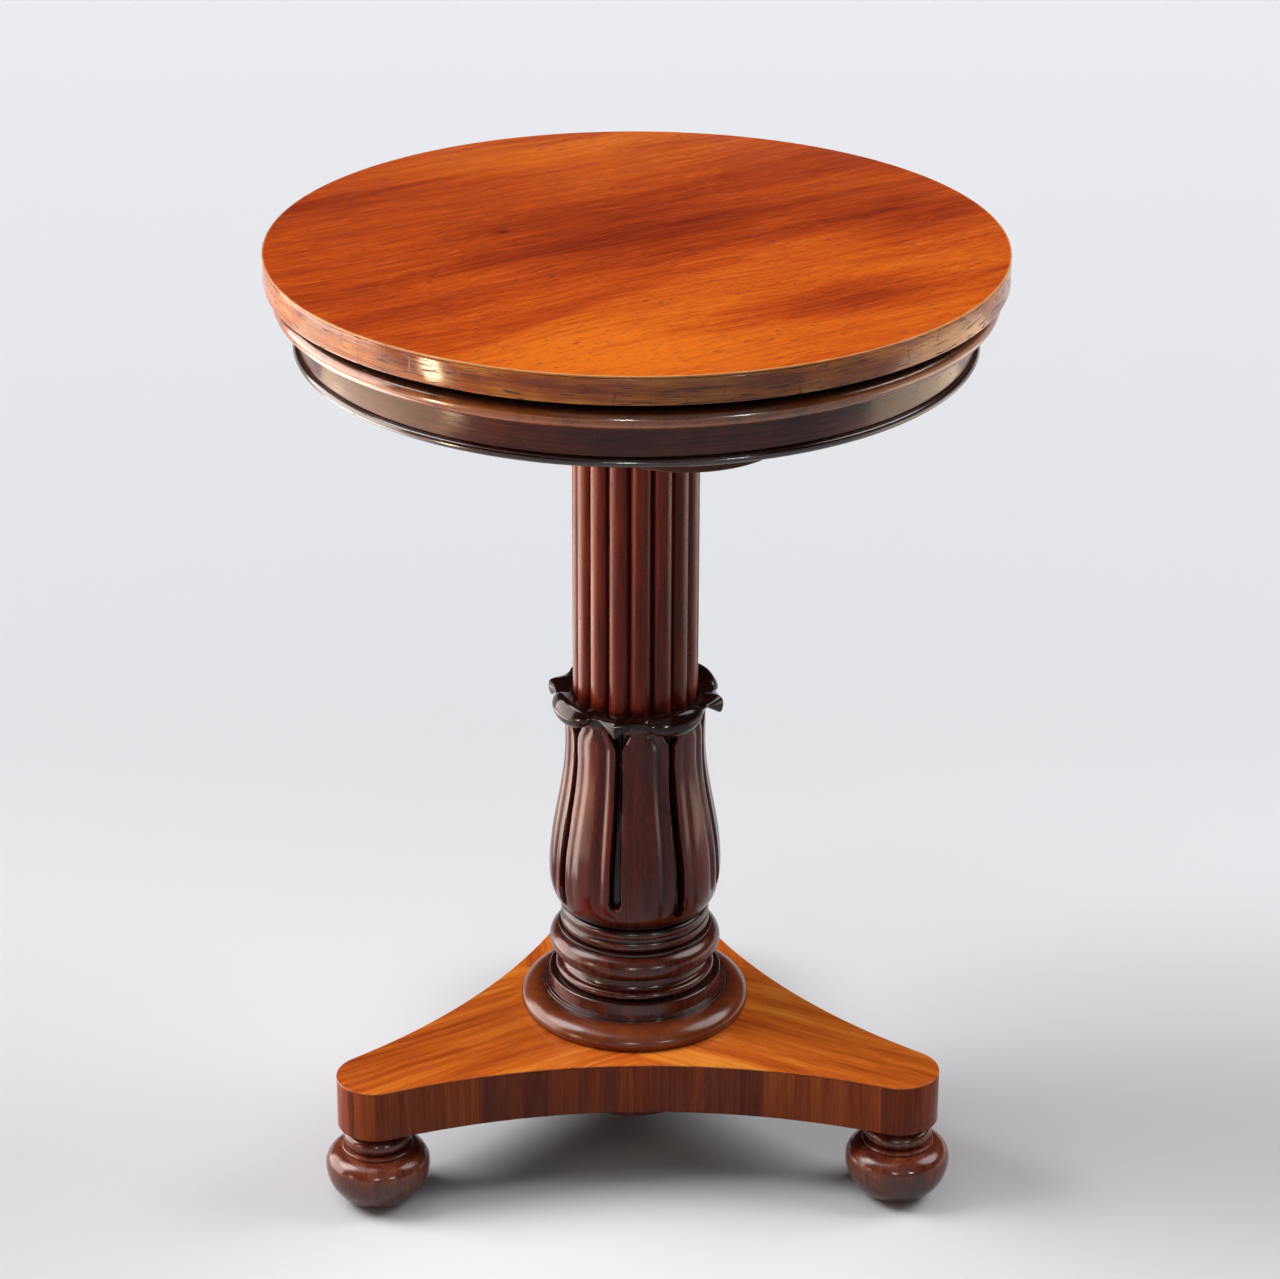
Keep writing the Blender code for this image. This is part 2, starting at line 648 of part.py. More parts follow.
def build_shaft():
    shaft = prism("reeded_shaft", [reed_outline()], reed_bottom, reed_top, "red_mahogany")
    spigot_low = lotus_seat - SPIGOT_LENGTH + FIT
    spigot_high = bearer_top
    change = (reed_bottom + reed_top) / 2
    core = [
        (0, spigot_high),
        (upper_spigot, spigot_high),
        (upper_spigot, change),
        (lower_spigot, change),
        (lower_spigot, spigot_low),
        (0, spigot_low),
    ]
    boolean(shaft, turned("shaft_core", core, PILLAR_STEPS, None), "UNION")
    bore = [
        (0, spigot_high + CUT_PAST),
        (bush_hole, spigot_high + CUT_PAST),
        (bush_hole, bush_bottom - FIT),
        (bore_radius, bush_bottom - FIT),
        (bore_radius, spigot_low - CUT_PAST),
        (0, spigot_low - CUT_PAST),
    ]
    boolean(shaft, turned("shaft_bore", bore, POST_STEPS, None))
    abacus_low = capital_top - ABACUS_HEIGHT
    astragal_top = capital_bottom + ASTRAGAL_HEIGHT
    outer = (
        [(CAPITAL_RADIUS + ABACUS_OVERHANG, capital_top), (CAPITAL_RADIUS + ABACUS_OVERHANG, abacus_low)]
        + [(CAPITAL_RADIUS, abacus_low - ABACUS_OVERHANG / 2), (CAPITAL_RADIUS, astragal_top)]
        + half_round(CAPITAL_RADIUS - ASTRAGAL_SETBACK, capital_bottom, ASTRAGAL_HEIGHT, 2)
        + [(upper_spigot + 2 * FIT, capital_bottom)]
    )
    capital = ring_piece("column_capital", outer, upper_spigot + FIT, PILLAR_STEPS, "red_mahogany")
    return shaft, capital


def build_tray():
    nose = (ROLL_NOSE, ROLL_HEIGHT / 2)
    roll = arc((roll_radius - ROLL_NOSE, tray_lip - ROLL_HEIGHT / 2), nose, 90, -90, 5)
    ring_piece("tray_roll", roll, tray_radius, WIDE_STEPS, "dark_mahogany")
    face_top = frieze_top - FIT
    face_low = frieze_bottom + FIT
    cove = arc((frieze_radius + COVE, face_top - COVE), (-COVE, COVE), 90, 0, 2)
    frieze = cove + [(frieze_radius, face_low)]
    ring_piece("tray_frieze", frieze, tray_radius, WIDE_STEPS, "dark_mahogany")
    bead_low = frieze_bottom - BEAD_HEIGHT
    bead = half_round(bead_radius, bead_low, BEAD_HEIGHT, 3)
    ring_piece("tray_bead", bead, tray_radius, WIDE_STEPS, "dark_mahogany")
    board_radius = tray_radius - FIT
    board_loops = [circle(board_radius, WIDE_STEPS), circle(bush_hole, POST_STEPS)]
    board = prism("tray_board", board_loops, board_bottom, tray_floor, "polished_mahogany")
    half_width = BEARER_WIDTH / 2
    swing = asin(half_width / BEARER_END_RADIUS)
    outline = []
    for end in (0, pi):
        for i in range(BEARER_END_FACETS + 1):
            angle = swing * (2 * i / BEARER_END_FACETS - 1)
            x = bearer_reach - BEARER_END_RADIUS * (1 - cos(angle))
            y = BEARER_END_RADIUS * sin(angle)
            turn = BEARER_AZIMUTH + end
            outline.append((x * cos(turn) - y * sin(turn), x * sin(turn) + y * cos(turn)))
    hole = circle(upper_spigot + FIT, PILLAR_STEPS)
    bearer = prism("tray_bearer", [outline, hole], bearer_bottom, bearer_top, "bare_mahogany")
    turn = Matrix.Rotation(BEARER_AZIMUTH, 4, "Z")
    places = [
        turn @ Matrix.Translation((x, y, bearer_bottom))
        for x in (BEARER_SCREW_INSET - bearer_reach, bearer_reach - BEARER_SCREW_INSET)
        for y in (-BEARER_SCREW_GAUGE, BEARER_SCREW_GAUGE)
    ]
    holes = wood_screws("bearer_screw", BEARER_SCREW_LENGTH, places)
    boolean(bearer, holes)
    boolean(board, holes)
    return board


def build_bush(board):
    seat = tray_floor + FIT
    flange_top = seat + FLANGE_THICKNESS
    outer = [(flange_radius, flange_top), (flange_radius, seat), (bush_radius, seat), (bush_radius, bush_bottom)]
    bush = ring_piece("guide_bush", outer, bush_bore, POST_STEPS, "brass")
    down = Matrix.Rotation(pi, 4, "X")
    middle = bush_radius + FLANGE_WIDTH / 2
    places = [place @ down for place in around(4, middle, flange_top, pi / 4)]
    holes = wood_screws("bush_screw", BUSH_SCREW_LENGTH, places)
    boolean(bush, holes)
    boolean(board, holes)
    return bush


def build_post():
    lift_axis = axis_empty("lift_axis")
    neck = POST_RADIUS + FERRULE_STANDOFF - FERRULE_WALL - FIT
    ferrule_top = ferrule_bottom + FERRULE_HEIGHT
    foot = ferrule_bottom + FERRULE_WALL + FIT
    socket = BOLT_RADIUS + FIT
    bolt_end = post_top - BOLT_DEPTH
    profile = [
        (0, bolt_end - FIT),
        (socket, bolt_end - FIT),
        (socket, post_top),
        (POST_RADIUS, post_top),
        (POST_RADIUS, ferrule_top + FIT),
        (neck, ferrule_top + FIT),
        (neck, foot),
        (0, foot),
    ]
    post = turned("rising_post", profile, POST_STEPS, "red_mahogany", lift_axis)
    rim = POST_RADIUS + FERRULE_STANDOFF
    cup = [
        (0, ferrule_bottom + FERRULE_WALL),
        (rim - FERRULE_WALL, ferrule_bottom + FERRULE_WALL),
        (rim - FERRULE_WALL, ferrule_top),
        (rim, ferrule_top),
        (rim, ferrule_bottom),
        (0, ferrule_bottom),
    ]
    turned("post_ferrule", cup, POST_STEPS, "brass", lift_axis)
    washer_low = washer_top - WASHER_THICKNESS
    washer = [(POST_RADIUS, washer_top), (POST_RADIUS, washer_low)]
    ring_piece("pivot_washer", washer, socket, POST_STEPS, "brass", lift_axis)
    head_low = block_top - BOLT_HEAD_HEIGHT - 4 * FIT
    head_top = head_low + BOLT_HEAD_HEIGHT
    bolt = [
        (0, head_top),
        (BOLT_HEAD_RADIUS, head_top),
        (BOLT_HEAD_RADIUS, head_low),
        (BOLT_RADIUS, head_low),
        (BOLT_RADIUS, bolt_end),
        (0, bolt_end),
    ]
    turned("pivot_bolt", bolt, SMALL_STEPS, "steel", lift_axis)
    return post, lift_axis, head_low


def build_top(lift_axis, head_low):
    turn_axis = axis_empty("turn_axis", parent=lift_axis)
    board_top = TABLE_HEIGHT - TOP_VENEER - FIT
    veneer_low = TABLE_HEIGHT - TOP_VENEER
    veneer = [(0, TABLE_HEIGHT), (top_radius, TABLE_HEIGHT), (top_radius, veneer_low), (0, veneer_low)]
    turned("top_veneer", veneer, WIDE_STEPS, "polished_mahogany", turn_axis)
    core = top_radius - EDGE_BAND - FIT
    disc = [(0, board_top), (core, board_top), (core, top_underside), (0, top_underside)]
    board = turned("top_board", disc, WIDE_STEPS, "bare_mahogany", turn_axis)
    band = [(top_radius, board_top), (top_radius, top_underside)]
    ring_piece("top_edge_band", band, core + FIT, WIDE_STEPS, "polished_mahogany", turn_axis)
    hole = BOLT_RADIUS + FIT
    recess = BOLT_HEAD_RADIUS + 2 * FIT
    recess_floor = head_low - FIT
    profile = (
        [(recess, block_top), (BLOCK_RADIUS, block_top)]
        + arc((BLOCK_RADIUS - BLOCK_ROUND, block_bottom + BLOCK_ROUND), (BLOCK_ROUND, BLOCK_ROUND), 0, -90, 2)
        + [(hole, block_bottom), (hole, recess_floor), (recess, recess_floor)]
    )
    block = turned("pivot_block", profile, POST_STEPS, "bare_mahogany", turn_axis, ring=True)
    places = around(4, BLOCK_SCREW_CIRCLE, block_bottom)
    holes = wood_screws("block_screw", BLOCK_SCREW_LENGTH, places, turn_axis)
    boolean(block, holes)
    boolean(board, holes)


def build_lock(shaft, capital, bush, post):
    """The lock pin in its socket, and the guide screw that runs in the post's groove. Heights here run outwards."""
    lock_axis = axis_empty("lock_axis", LOCK_AZIMUTH, lock_level)
    flange_low = socket_seat + FIT
    flange_top = flange_low + SOCKET_FLANGE_THICKNESS
    tube_end = upper_spigot + 2 * FIT
    socket = [
        (SOCKET_FLANGE, flange_top),
        (SOCKET_FLANGE, flange_low),
        (tube_radius, flange_low),
        (tube_radius, tube_end),
    ]
    ring_piece("lock_socket", socket, tube_bore, SMALL_STEPS, "brass", lock_axis)
    tip = POST_RADIUS + PIN_PLAY
    knob_low = flange_top + PIN_TRAVEL + PIN_PLAY
    pin_end = knob_low + PIN_TAIL
    pin = [(0, pin_end), (PIN_RADIUS, pin_end), (PIN_RADIUS, tip), (0, tip)]
    turned("lock_pin", pin, SMALL_STEPS, "steel", lock_axis)
    knob_top = knob_low + KNOB_LENGTH
    knob = (
        arc((0, knob_top - KNOB_BALL), (KNOB_RADIUS, KNOB_BALL), 90, -40, 3)
        + [(KNOB_NECK_RADIUS, knob_low), (tube_bore, knob_low)]
        + [(tube_bore, pin_end + FIT), (0, pin_end + FIT)]
    )
    turned("lock_knob", knob, SMALL_STEPS, "brass", lock_axis)
    seat = [
        (0, CAPITAL_RADIUS + CUT_PAST),
        (SOCKET_FLANGE + FIT, CAPITAL_RADIUS + CUT_PAST),
        (SOCKET_FLANGE + FIT, socket_seat),
        (tube_radius + FIT, socket_seat),
        (tube_radius + FIT, upper_spigot - FIT),
        (0, upper_spigot - FIT),
    ]
    boolean(capital, turned("lock_seat", seat, SMALL_STEPS, None, lock_axis))
    bore_end = upper_spigot + FIT
    low_bore = cylinder_cutter("lock_bore", pin_hole, POST_RADIUS - PIN_BITE, bore_end, SMALL_STEPS, lock_axis)
    for piece in (shaft, bush, post):
        boolean(piece, low_bore)
    raised_axis = axis_empty("raised_lock_axis", LOCK_AZIMUTH, lock_level - LIFT_TRAVEL)
    raised = cylinder_cutter("raised_lock_hole", pin_hole, POST_RADIUS - PIN_BITE, bore_end, SMALL_STEPS, raised_axis)
    boolean(post, raised)
    guide_axis = axis_empty("guide_axis", GUIDE_AZIMUTH, lock_level)
    guide_tip = POST_RADIUS - GUIDE_BITE
    head = CAPITAL_RADIUS - FIT
    taper = GUIDE_HEAD - GUIDE_RADIUS
    screw = [
        (0, head),
        (GUIDE_HEAD, head),
        (GUIDE_RADIUS, head - taper),
        (GUIDE_RADIUS, guide_tip),
        (0, guide_tip),
    ]
    turned("guide_screw", screw, SMALL_STEPS, "brass", guide_axis)
    hole = [
        (0, CAPITAL_RADIUS + CUT_PAST),
        (GUIDE_HEAD + FIT, CAPITAL_RADIUS + CUT_PAST),
        (GUIDE_HEAD + FIT, head),
        (GUIDE_RADIUS + FIT, head - taper - FIT),
        (GUIDE_RADIUS + FIT, guide_tip),
        (0, guide_tip),
    ]
    guide_hole = turned("guide_hole", hole, SMALL_STEPS, None, guide_axis)
    for piece in (capital, shaft, bush):
        boolean(piece, guide_hole)
    groove_half = GUIDE_RADIUS + PIN_PLAY
    groove = bmesh.new()
    bmesh.ops.create_cube(groove, size=1.0)
    length = LIFT_TRAVEL + 2 * groove_half
    depth = 2 * GROOVE_DEPTH
    bmesh.ops.scale(groove, vec=(2 * groove_half, length, depth), verts=groove.verts)
    mesh = bpy.data.meshes.new("post_groove")
    groove.to_mesh(mesh)
    groove.free()
    cutter = add_object("post_groove", mesh, None, guide_axis)
    cutter.location = (0, LIFT_TRAVEL / 2, POST_RADIUS)
    boolean(post, cutter)


clear_scene()
table = new_collection("metamorphic_table")
cutters = new_collection("cutters")
build_platform()
build_base()
build_lotus()
shaft_piece, capital_piece = build_shaft()
tray_board = build_tray()
bush_piece = build_bush(tray_board)
post_piece, lift, bolt_head = build_post()
build_top(lift, bolt_head)
build_lock(shaft_piece, capital_piece, bush_piece, post_piece)
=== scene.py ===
import json
from math import asin, atan2, cos, pi, radians, sin, tan

import bmesh
import bpy
import numpy as np
from mathutils import Matrix, Vector


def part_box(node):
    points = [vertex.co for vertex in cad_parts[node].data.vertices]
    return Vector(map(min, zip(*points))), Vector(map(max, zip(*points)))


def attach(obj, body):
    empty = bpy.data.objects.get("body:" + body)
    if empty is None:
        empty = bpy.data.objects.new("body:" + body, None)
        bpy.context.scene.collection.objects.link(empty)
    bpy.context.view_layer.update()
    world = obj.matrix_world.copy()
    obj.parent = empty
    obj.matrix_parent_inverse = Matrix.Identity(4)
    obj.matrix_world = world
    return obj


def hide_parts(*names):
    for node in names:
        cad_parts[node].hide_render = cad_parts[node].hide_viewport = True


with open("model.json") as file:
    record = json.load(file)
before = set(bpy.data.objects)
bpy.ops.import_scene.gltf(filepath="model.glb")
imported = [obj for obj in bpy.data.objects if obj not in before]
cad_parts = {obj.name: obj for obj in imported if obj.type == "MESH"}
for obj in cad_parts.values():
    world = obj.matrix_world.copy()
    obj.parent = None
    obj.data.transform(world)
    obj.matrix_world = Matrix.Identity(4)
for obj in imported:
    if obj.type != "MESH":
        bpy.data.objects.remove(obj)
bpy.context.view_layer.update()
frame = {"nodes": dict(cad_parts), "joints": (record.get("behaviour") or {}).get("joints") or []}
nodes = frame["nodes"]
print("frame loaded:", len(nodes), "nodes")

mm = 0.001


def linear(hexColour):
    # sRGB hex to linear, opaque
    parts = [int(hexColour[i:i + 2], 16) / 255 for i in (1, 3, 5)]
    return tuple(c / 12.92 if c <= 0.04045 else ((c + 0.055) / 1.055) ** 2.4 for c in parts) + (1.0,)


def setInputs(tree, node, inputs):
    # an input takes a plain value, a socket, or another node's first output
    for key, value in inputs.items():
        if isinstance(value, bpy.types.Node):
            value = next(socket for socket in value.outputs if socket.enabled)
        if isinstance(value, bpy.types.NodeSocket):
            tree.links.new(value, node.inputs[key])
        else:
            node.inputs[key].default_value = value


def addNode(tree, kind, inputs=None, stops=None, **settings):
    # one node with its settings, its inputs and, on a ramp, its colours
    node = tree.nodes.new(kind)
    for key, value in settings.items():
        setattr(node, key, value)
    if stops:
        marks = node.color_ramp.elements
        while len(marks) < len(stops):
            marks.new(0.5)
        for mark, (place, colour) in zip(marks, stops.items()):
            mark.position, mark.color = place, linear(colour)
    setInputs(tree, node, inputs or {})
    return node


def newMaterial(name):
    # a material, its tree, its shader and the piece's own coordinates
    material = bpy.data.materials.new(name)
    material.use_nodes = True
    tree = material.node_tree
    return material, tree, tree.nodes["Principled BSDF"], addNode(tree, "ShaderNodeTexCoord").outputs["Object"]


def armTurn(tree, coords):
    # veneer laid in three mitred leaves, each with its grain along its own arm
    third = 2 * pi / 3
    flat = addNode(tree, "ShaderNodeSeparateXYZ", {0: coords}).outputs
    bearing = addNode(tree, "ShaderNodeMath", {0: flat["Y"], 1: flat["X"]}, operation="ARCTAN2")
    fromBack = addNode(tree, "ShaderNodeMath", {0: bearing, 1: third / 2 - pi / 2}, operation="ADD")
    arm = addNode(tree, "ShaderNodeMath", {0: fromBack, 1: third}, operation="SNAP")
    turn = addNode(tree, "ShaderNodeMath", {0: arm, 1: -1.0, 2: -pi / 2}, operation="MULTIPLY_ADD")
    laid = addNode(tree, "ShaderNodeVectorRotate", {"Vector": coords, "Angle": turn}, rotation_type="Z_AXIS")
    # each leaf comes from another place in the wood
    whole = addNode(tree, "ShaderNodeMath", {0: arm, 1: 2 * pi}, operation="FLOORED_MODULO")
    shift = addNode(tree, "ShaderNodeCombineXYZ", {"X": whole, "Y": whole})
    return addNode(tree, "ShaderNodeVectorMath", {0: laid, 1: shift})


def streaks(tree, coords, length, width, detail):
    # noise drawn out along the grain
    stretched = addNode(tree, "ShaderNodeMapping", {"Vector": coords, "Scale": (1 / length, 1 / width, 1 / width)})
    return addNode(tree, "ShaderNodeTexNoise", {"Vector": stretched, "Scale": 1.0, "Detail": detail})


def patches(tree, coords, look):
    # uneven patches: noise of one size, between a least and a most
    noise = addNode(tree, "ShaderNodeTexNoise", {
        "Vector": coords, "Scale": 1 / look["size"], "Detail": look["detail"], "Roughness": look["rough"],
    })
    return addNode(tree, "ShaderNodeMapRange", {
        "Value": noise, "From Min": look["from"], "From Max": look["to"],
        "To Min": look.get("least", 0.0), "To Max": look["most"],
    })


# What all the mahogany has in common
woodSizes = {
    "poreEdge": 0.07, "poreDull": 0.5, "poreSunk": -0.6, "reliefDepth": 0.25 * mm, "ior": 1.5,
    "patchiness": {"size": 16 * mm, "detail": 5, "rough": 0.65, "from": 0.15, "to": 0.5},
    "dulled": {"detail": 4, "rough": 0.6, "from": 0.3, "to": 0.75},
    "carvedFrom": 0.25, "carvedTo": 0.8, "paintedShadeCore": 0.2, "cloudCore": 0.1,
}


def mahogany(name, look):
    # true mahogany, sawn or turned: slow bands, fine lines, and open pores that show as short dark dashes
    material, tree, shader, coords = newMaterial(name)
    if "turn" in look:
        grain = addNode(tree, "ShaderNodeMapping", {"Vector": coords, "Rotation": look["turn"]})
    else:
        grain = armTurn(tree, coords)
    # the fibres wander: what follows is drawn on bent coordinates
    sway = look["wander"]
    bend = addNode(tree, "ShaderNodeTexNoise", {"Vector": grain, "Scale": 1 / look["wanderSize"], "Detail": 2.0})
    push = addNode(
        tree, "ShaderNodeVectorMath", {0: bend.outputs["Color"], 1: (0.5, 0.5, 0.5)}, operation="SUBTRACT"
    )
    push = addNode(tree, "ShaderNodeVectorMath", {0: push, 1: (0, sway, sway)}, operation="MULTIPLY")
    bent = addNode(tree, "ShaderNodeVectorMath", {0: grain, 1: push})
    # layers of streaks: length and width in mm, detail, weight
    tone = 0.5 - 0.5 * sum(weight for *_, weight in look["layers"])
    for length, width, detail, weight in look["layers"]:
        fibres = streaks(tree, bent, length * mm, width * mm, detail)
        tone = addNode(tree, "ShaderNodeMath", {0: fibres, 1: weight, 2: tone}, operation="MULTIPLY_ADD")
    if "zones" in look:
        # paler or darker clouds in the figure, in plan: place, length and width in mm, turn in degrees, tone
        plan = addNode(tree, "ShaderNodeVectorMath", {0: coords, 1: push})
        for x, y, length, width, turn, lift in look["zones"]:
            local = addNode(
                tree, "ShaderNodeMapping",
                {"Vector": plan, "Location": (x * mm, y * mm, 0), "Rotation": (0, 0, radians(turn)),
                 "Scale": (length * mm, width * mm, 1000)},
                vector_type="TEXTURE",
            )
            away = addNode(tree, "ShaderNodeVectorMath", {0: local}, operation="LENGTH").outputs["Value"]
            cloud = addNode(
                tree, "ShaderNodeMapRange",
                {"Value": away, "From Min": 1.0, "From Max": woodSizes["cloudCore"], "To Max": lift},
                interpolation_type="SMOOTHSTEP",
            )
            tone = addNode(tree, "ShaderNodeMath", {0: tone, 1: cloud}, operation="ADD")
    if "paleSide" in look:
        # sapwood side of the board, past a line that crosses the grain at a slant
        side = look["paleSide"]
        facing = (sin(side["turn"]), -cos(side["turn"]), 0)
        past = addNode(tree, "ShaderNodeVectorMath", {0: plan, 1: facing}, operation="DOT_PRODUCT").outputs["Value"]
        lift = addNode(
            tree, "ShaderNodeMapRange",
            {"Value": past, "From Min": side["at"] - side["soft"], "From Max": side["at"] + side["soft"],
             "To Max": side["tone"]},
            interpolation_type="SMOOTHSTEP",
        )
        tone = addNode(tree, "ShaderNodeMath", {0: tone, 1: lift}, operation="ADD")
    if "strips" in look:
        # pieced from narrow strips of unlike tone
        wide = 1 / look["strips"]["size"]
        flat = addNode(tree, "ShaderNodeMapping", {"Vector": coords, "Scale": (wide, wide, 0)})
        cells = addNode(tree, "ShaderNodeTexVoronoi", {"Vector": flat, "Scale": 1.0}).outputs["Color"]
        unlike = addNode(tree, "ShaderNodeSeparateColor", {0: cells})
        unlike = addNode(tree, "ShaderNodeMath", {0: unlike, 1: 0.5}, operation="SUBTRACT")
        tone = addNode(
            tree, "ShaderNodeMath", {0: unlike, 1: look["strips"]["tone"], 2: tone}, operation="MULTIPLY_ADD"
        )
    colour = addNode(tree, "ShaderNodeValToRGB", {"Fac": tone}, look["colours"])
    # pores: thin dashes, cut where a stretched noise peaks
    pore = look["pores"]
    dashes = streaks(tree, bent, pore["length"], pore["width"], 1.0)
    marks = addNode(tree, "ShaderNodeMapRange", {
        "Value": dashes, "From Min": pore["from"], "From Max": pore["from"] + woodSizes["poreEdge"],
    })
    shade = addNode(tree, "ShaderNodeMath", {0: marks, 1: pore["dark"]}, operation="MULTIPLY")
    stains = [(shade, pore["colour"])]
    if "cracks" in look:
        # fine upright cracks in the old edge, at uneven spacing round it
        crack = look["cracks"]
        flat = addNode(tree, "ShaderNodeSeparateXYZ", {0: coords}).outputs
        turn = addNode(tree, "ShaderNodeMath", {0: flat["Y"], 1: flat["X"]}, operation="ARCTAN2")
        place = addNode(tree, "ShaderNodeMath", {0: turn, 1: crack["radius"] / crack["every"]}, operation="MULTIPLY")
        waver = addNode(tree, "ShaderNodeTexNoise", {"Vector": coords, "Scale": 1 / crack["bendSize"], "Detail": 1.0})
        place = addNode(tree, "ShaderNodeMath", {0: waver, 1: crack["bend"], 2: place}, operation="MULTIPLY_ADD")
        gap = addNode(
            tree, "ShaderNodeTexVoronoi", {"W": place, "Scale": 1.0},
            voronoi_dimensions="1D", feature="DISTANCE_TO_EDGE",
        )
        split = addNode(tree, "ShaderNodeMapRange", {
            "Value": gap, "From Min": crack["width"] / crack["every"], "From Max": 0.0,
        })
        some = patches(tree, coords, crack["some"])
        split = addNode(tree, "ShaderNodeMath", {0: split, 1: some}, operation="MULTIPLY")
        stains.append((split, pore["colour"]))
        marks = addNode(tree, "ShaderNodeMath", {0: marks, 1: split}, operation="MAXIMUM")
    if "wear" in look:
        # polish rubbed through to paler wood, in specks and patches
        stains.append((patches(tree, coords, look["wear"]), look["wear"]["colour"]))
    if "wornAndLit" in look:
        # the furthest-out part of a moulding made paler, in patches: partly wear from sleeves and cloths, partly a
        # painted highlight on the roll's nose and the top's rim
        wornAndLit = look["wornAndLit"]
        level = addNode(tree, "ShaderNodeVectorMath", {0: coords, 1: (1, 1, 0)}, operation="MULTIPLY")
        radius = addNode(tree, "ShaderNodeVectorMath", {0: level}, operation="LENGTH").outputs["Value"]
        nose = addNode(tree, "ShaderNodeMapRange", {
            "Value": radius, "From Min": wornAndLit["from"], "From Max": wornAndLit["to"],
        })
        patchiness = patches(tree, coords, {**woodSizes["patchiness"], "most": wornAndLit["most"]})
        nose = addNode(tree, "ShaderNodeMath", {0: nose, 1: patchiness}, operation="MULTIPLY")
        stains.append((nose, wornAndLit["colour"]))
    height = addNode(tree, "ShaderNodeSeparateXYZ", {0: coords}).outputs["Z"]
    if "paintedShade" in look:
        # painted shade in the quirks between mouldings and in other hollows: level and reach of each
        paintedShade = look["paintedShade"]
        for level, reach in paintedShade["levels"]:
            off = addNode(tree, "ShaderNodeMath", {0: height, 1: level}, operation="SUBTRACT")
            off = addNode(tree, "ShaderNodeMath", {0: off}, operation="ABSOLUTE")
            near = addNode(
                tree, "ShaderNodeMapRange",
                {"Value": off, "From Min": reach, "From Max": woodSizes["paintedShadeCore"] * reach, "To Max": paintedShade["most"]},
                interpolation_type="SMOOTHSTEP",
            )
            stains.append((near, paintedShade["colour"]))
    if "carved" in look:
        # painted shade at the bottom of the carving, by the depth kept on the mesh
        carved = look["carved"]
        depth = addNode(tree, "ShaderNodeAttribute", attribute_name="carved").outputs["Fac"]
        deep = addNode(tree, "ShaderNodeMapRange", {
            "Value": depth, "From Min": woodSizes["carvedFrom"], "From Max": woodSizes["carvedTo"],
            "To Max": carved["most"],
        })
        stains.append((deep, carved["colour"]))
    if "waxed" in look:
        # old dark wax above a level, over carving too fine to rub clean
        waxed = look["waxed"]
        above = addNode(tree, "ShaderNodeMapRange", {
            "Value": height, "From Min": waxed["from"], "From Max": waxed["to"], "To Max": waxed["most"],
        })
        stains.append((above, waxed["colour"]))
    for strength, stain in stains:
        colour = addNode(
            tree, "ShaderNodeMix", {"Factor": strength, "A": colour, "B": linear(stain)}, data_type="RGBA"
        )
    # the polish is mostly even, with cloudy patches where it has dulled
    polish = look["polish"]
    rough = patches(tree, coords, {
        **woodSizes["dulled"], "size": polish["size"], "least": polish["gloss"], "most": polish["dull"],
    })
    rough = addNode(tree, "ShaderNodeMath", {0: marks, 1: woodSizes["poreDull"], 2: rough}, operation="MULTIPLY_ADD")
    relief = addNode(tree, "ShaderNodeMath", {0: marks, 1: woodSizes["poreSunk"], 2: fibres}, operation="MULTIPLY_ADD")
    bump = addNode(tree, "ShaderNodeBump", {
        "Height": relief, "Strength": polish["relief"], "Distance": woodSizes["reliefDepth"],
    })
    setInputs(tree, shader, {
        "Base Color": colour, "Roughness": rough, "Normal": bump,
        "IOR": woodSizes["ior"], "Specular IOR Level": polish["shine"],
    })
    return material


upright = (0, radians(90), 0)
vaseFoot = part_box("lotus_vase")[0].z
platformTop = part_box("platform_top_veneer")[1].z
# grain that the straight and the rubbed mouldings share, and that all turnings share
mouldingGrain = {
    "turn": upright, "wanderSize": 70 * mm, "wander": 6 * mm,
    "layers": ((9, 130, 3, 0.7), (45, 45, 2, 0.5), (1.2, 36, 2, 0.6)),
    "pores": {"length": 0.8 * mm, "width": 9 * mm, "from": 0.68, "dark": 0.7, "colour": "#160806"},
}
turnedGrain = {
    "turn": upright, "wanderSize": 70 * mm, "wander": 6 * mm,
    "layers": ((120, 14, 3, 0.6), (50, 5, 3, 0.5), (30, 1.2, 2, 0.5)),
    "pores": {"length": 6 * mm, "width": 0.6 * mm, "from": 0.69, "dark": 0.6, "colour": "#1A0A06"},
}
# Flat-sawn mahogany under old French polish: orange, with soft clouds, long dark streaks and fine pores, and a pale rim
# at the arris that is partly wear and partly a painted highlight
topWood = mahogany("mahogany_french_polished", {
    "turn": (0, 0, radians(-30)), "wanderSize": 170 * mm, "wander": 30 * mm,
    "layers": ((380, 40, 3, 0.42), (170, 9, 3, 0.24), (110, 3.6, 2, 0.22), (48, 1.5, 2, 0.48)),
    "zones": (
        (-10, 25, 190, 95, 24, -0.15), (-122, -66, 75, 34, 14, 0.02), (-150, -140, 90, 60, 40, -0.07),
        (205, 60, 120, 70, 30, -0.21), (-40, 215, 220, 80, 20, 0.2), (-96, 28, 9, 6, 30, -0.2),
        (-20, -225, 150, 60, 8, 0.16), (140, -110, 110, 55, 25, -0.17),
    ),
    "paleSide": {"turn": radians(43), "at": 75 * mm, "soft": 9 * mm, "tone": 0.15},
    "colours": {0.2: "#78220E", 0.4: "#A43A14", 0.56: "#C64F18", 0.8: "#EC761F"},
    "pores": {"length": 9 * mm, "width": 0.9 * mm, "from": 0.63, "dark": 0.8, "colour": "#3C1207"},
    # pale rim: partly wear, partly a painted highlight along the arris
    "wornAndLit": {"from": 263.4 * mm, "to": 264.6 * mm, "colour": "#F0B878", "most": 0.7},
    "polish": {"size": 60 * mm, "gloss": 0.13, "dull": 0.2, "relief": 0.02, "shine": 0.28},
})
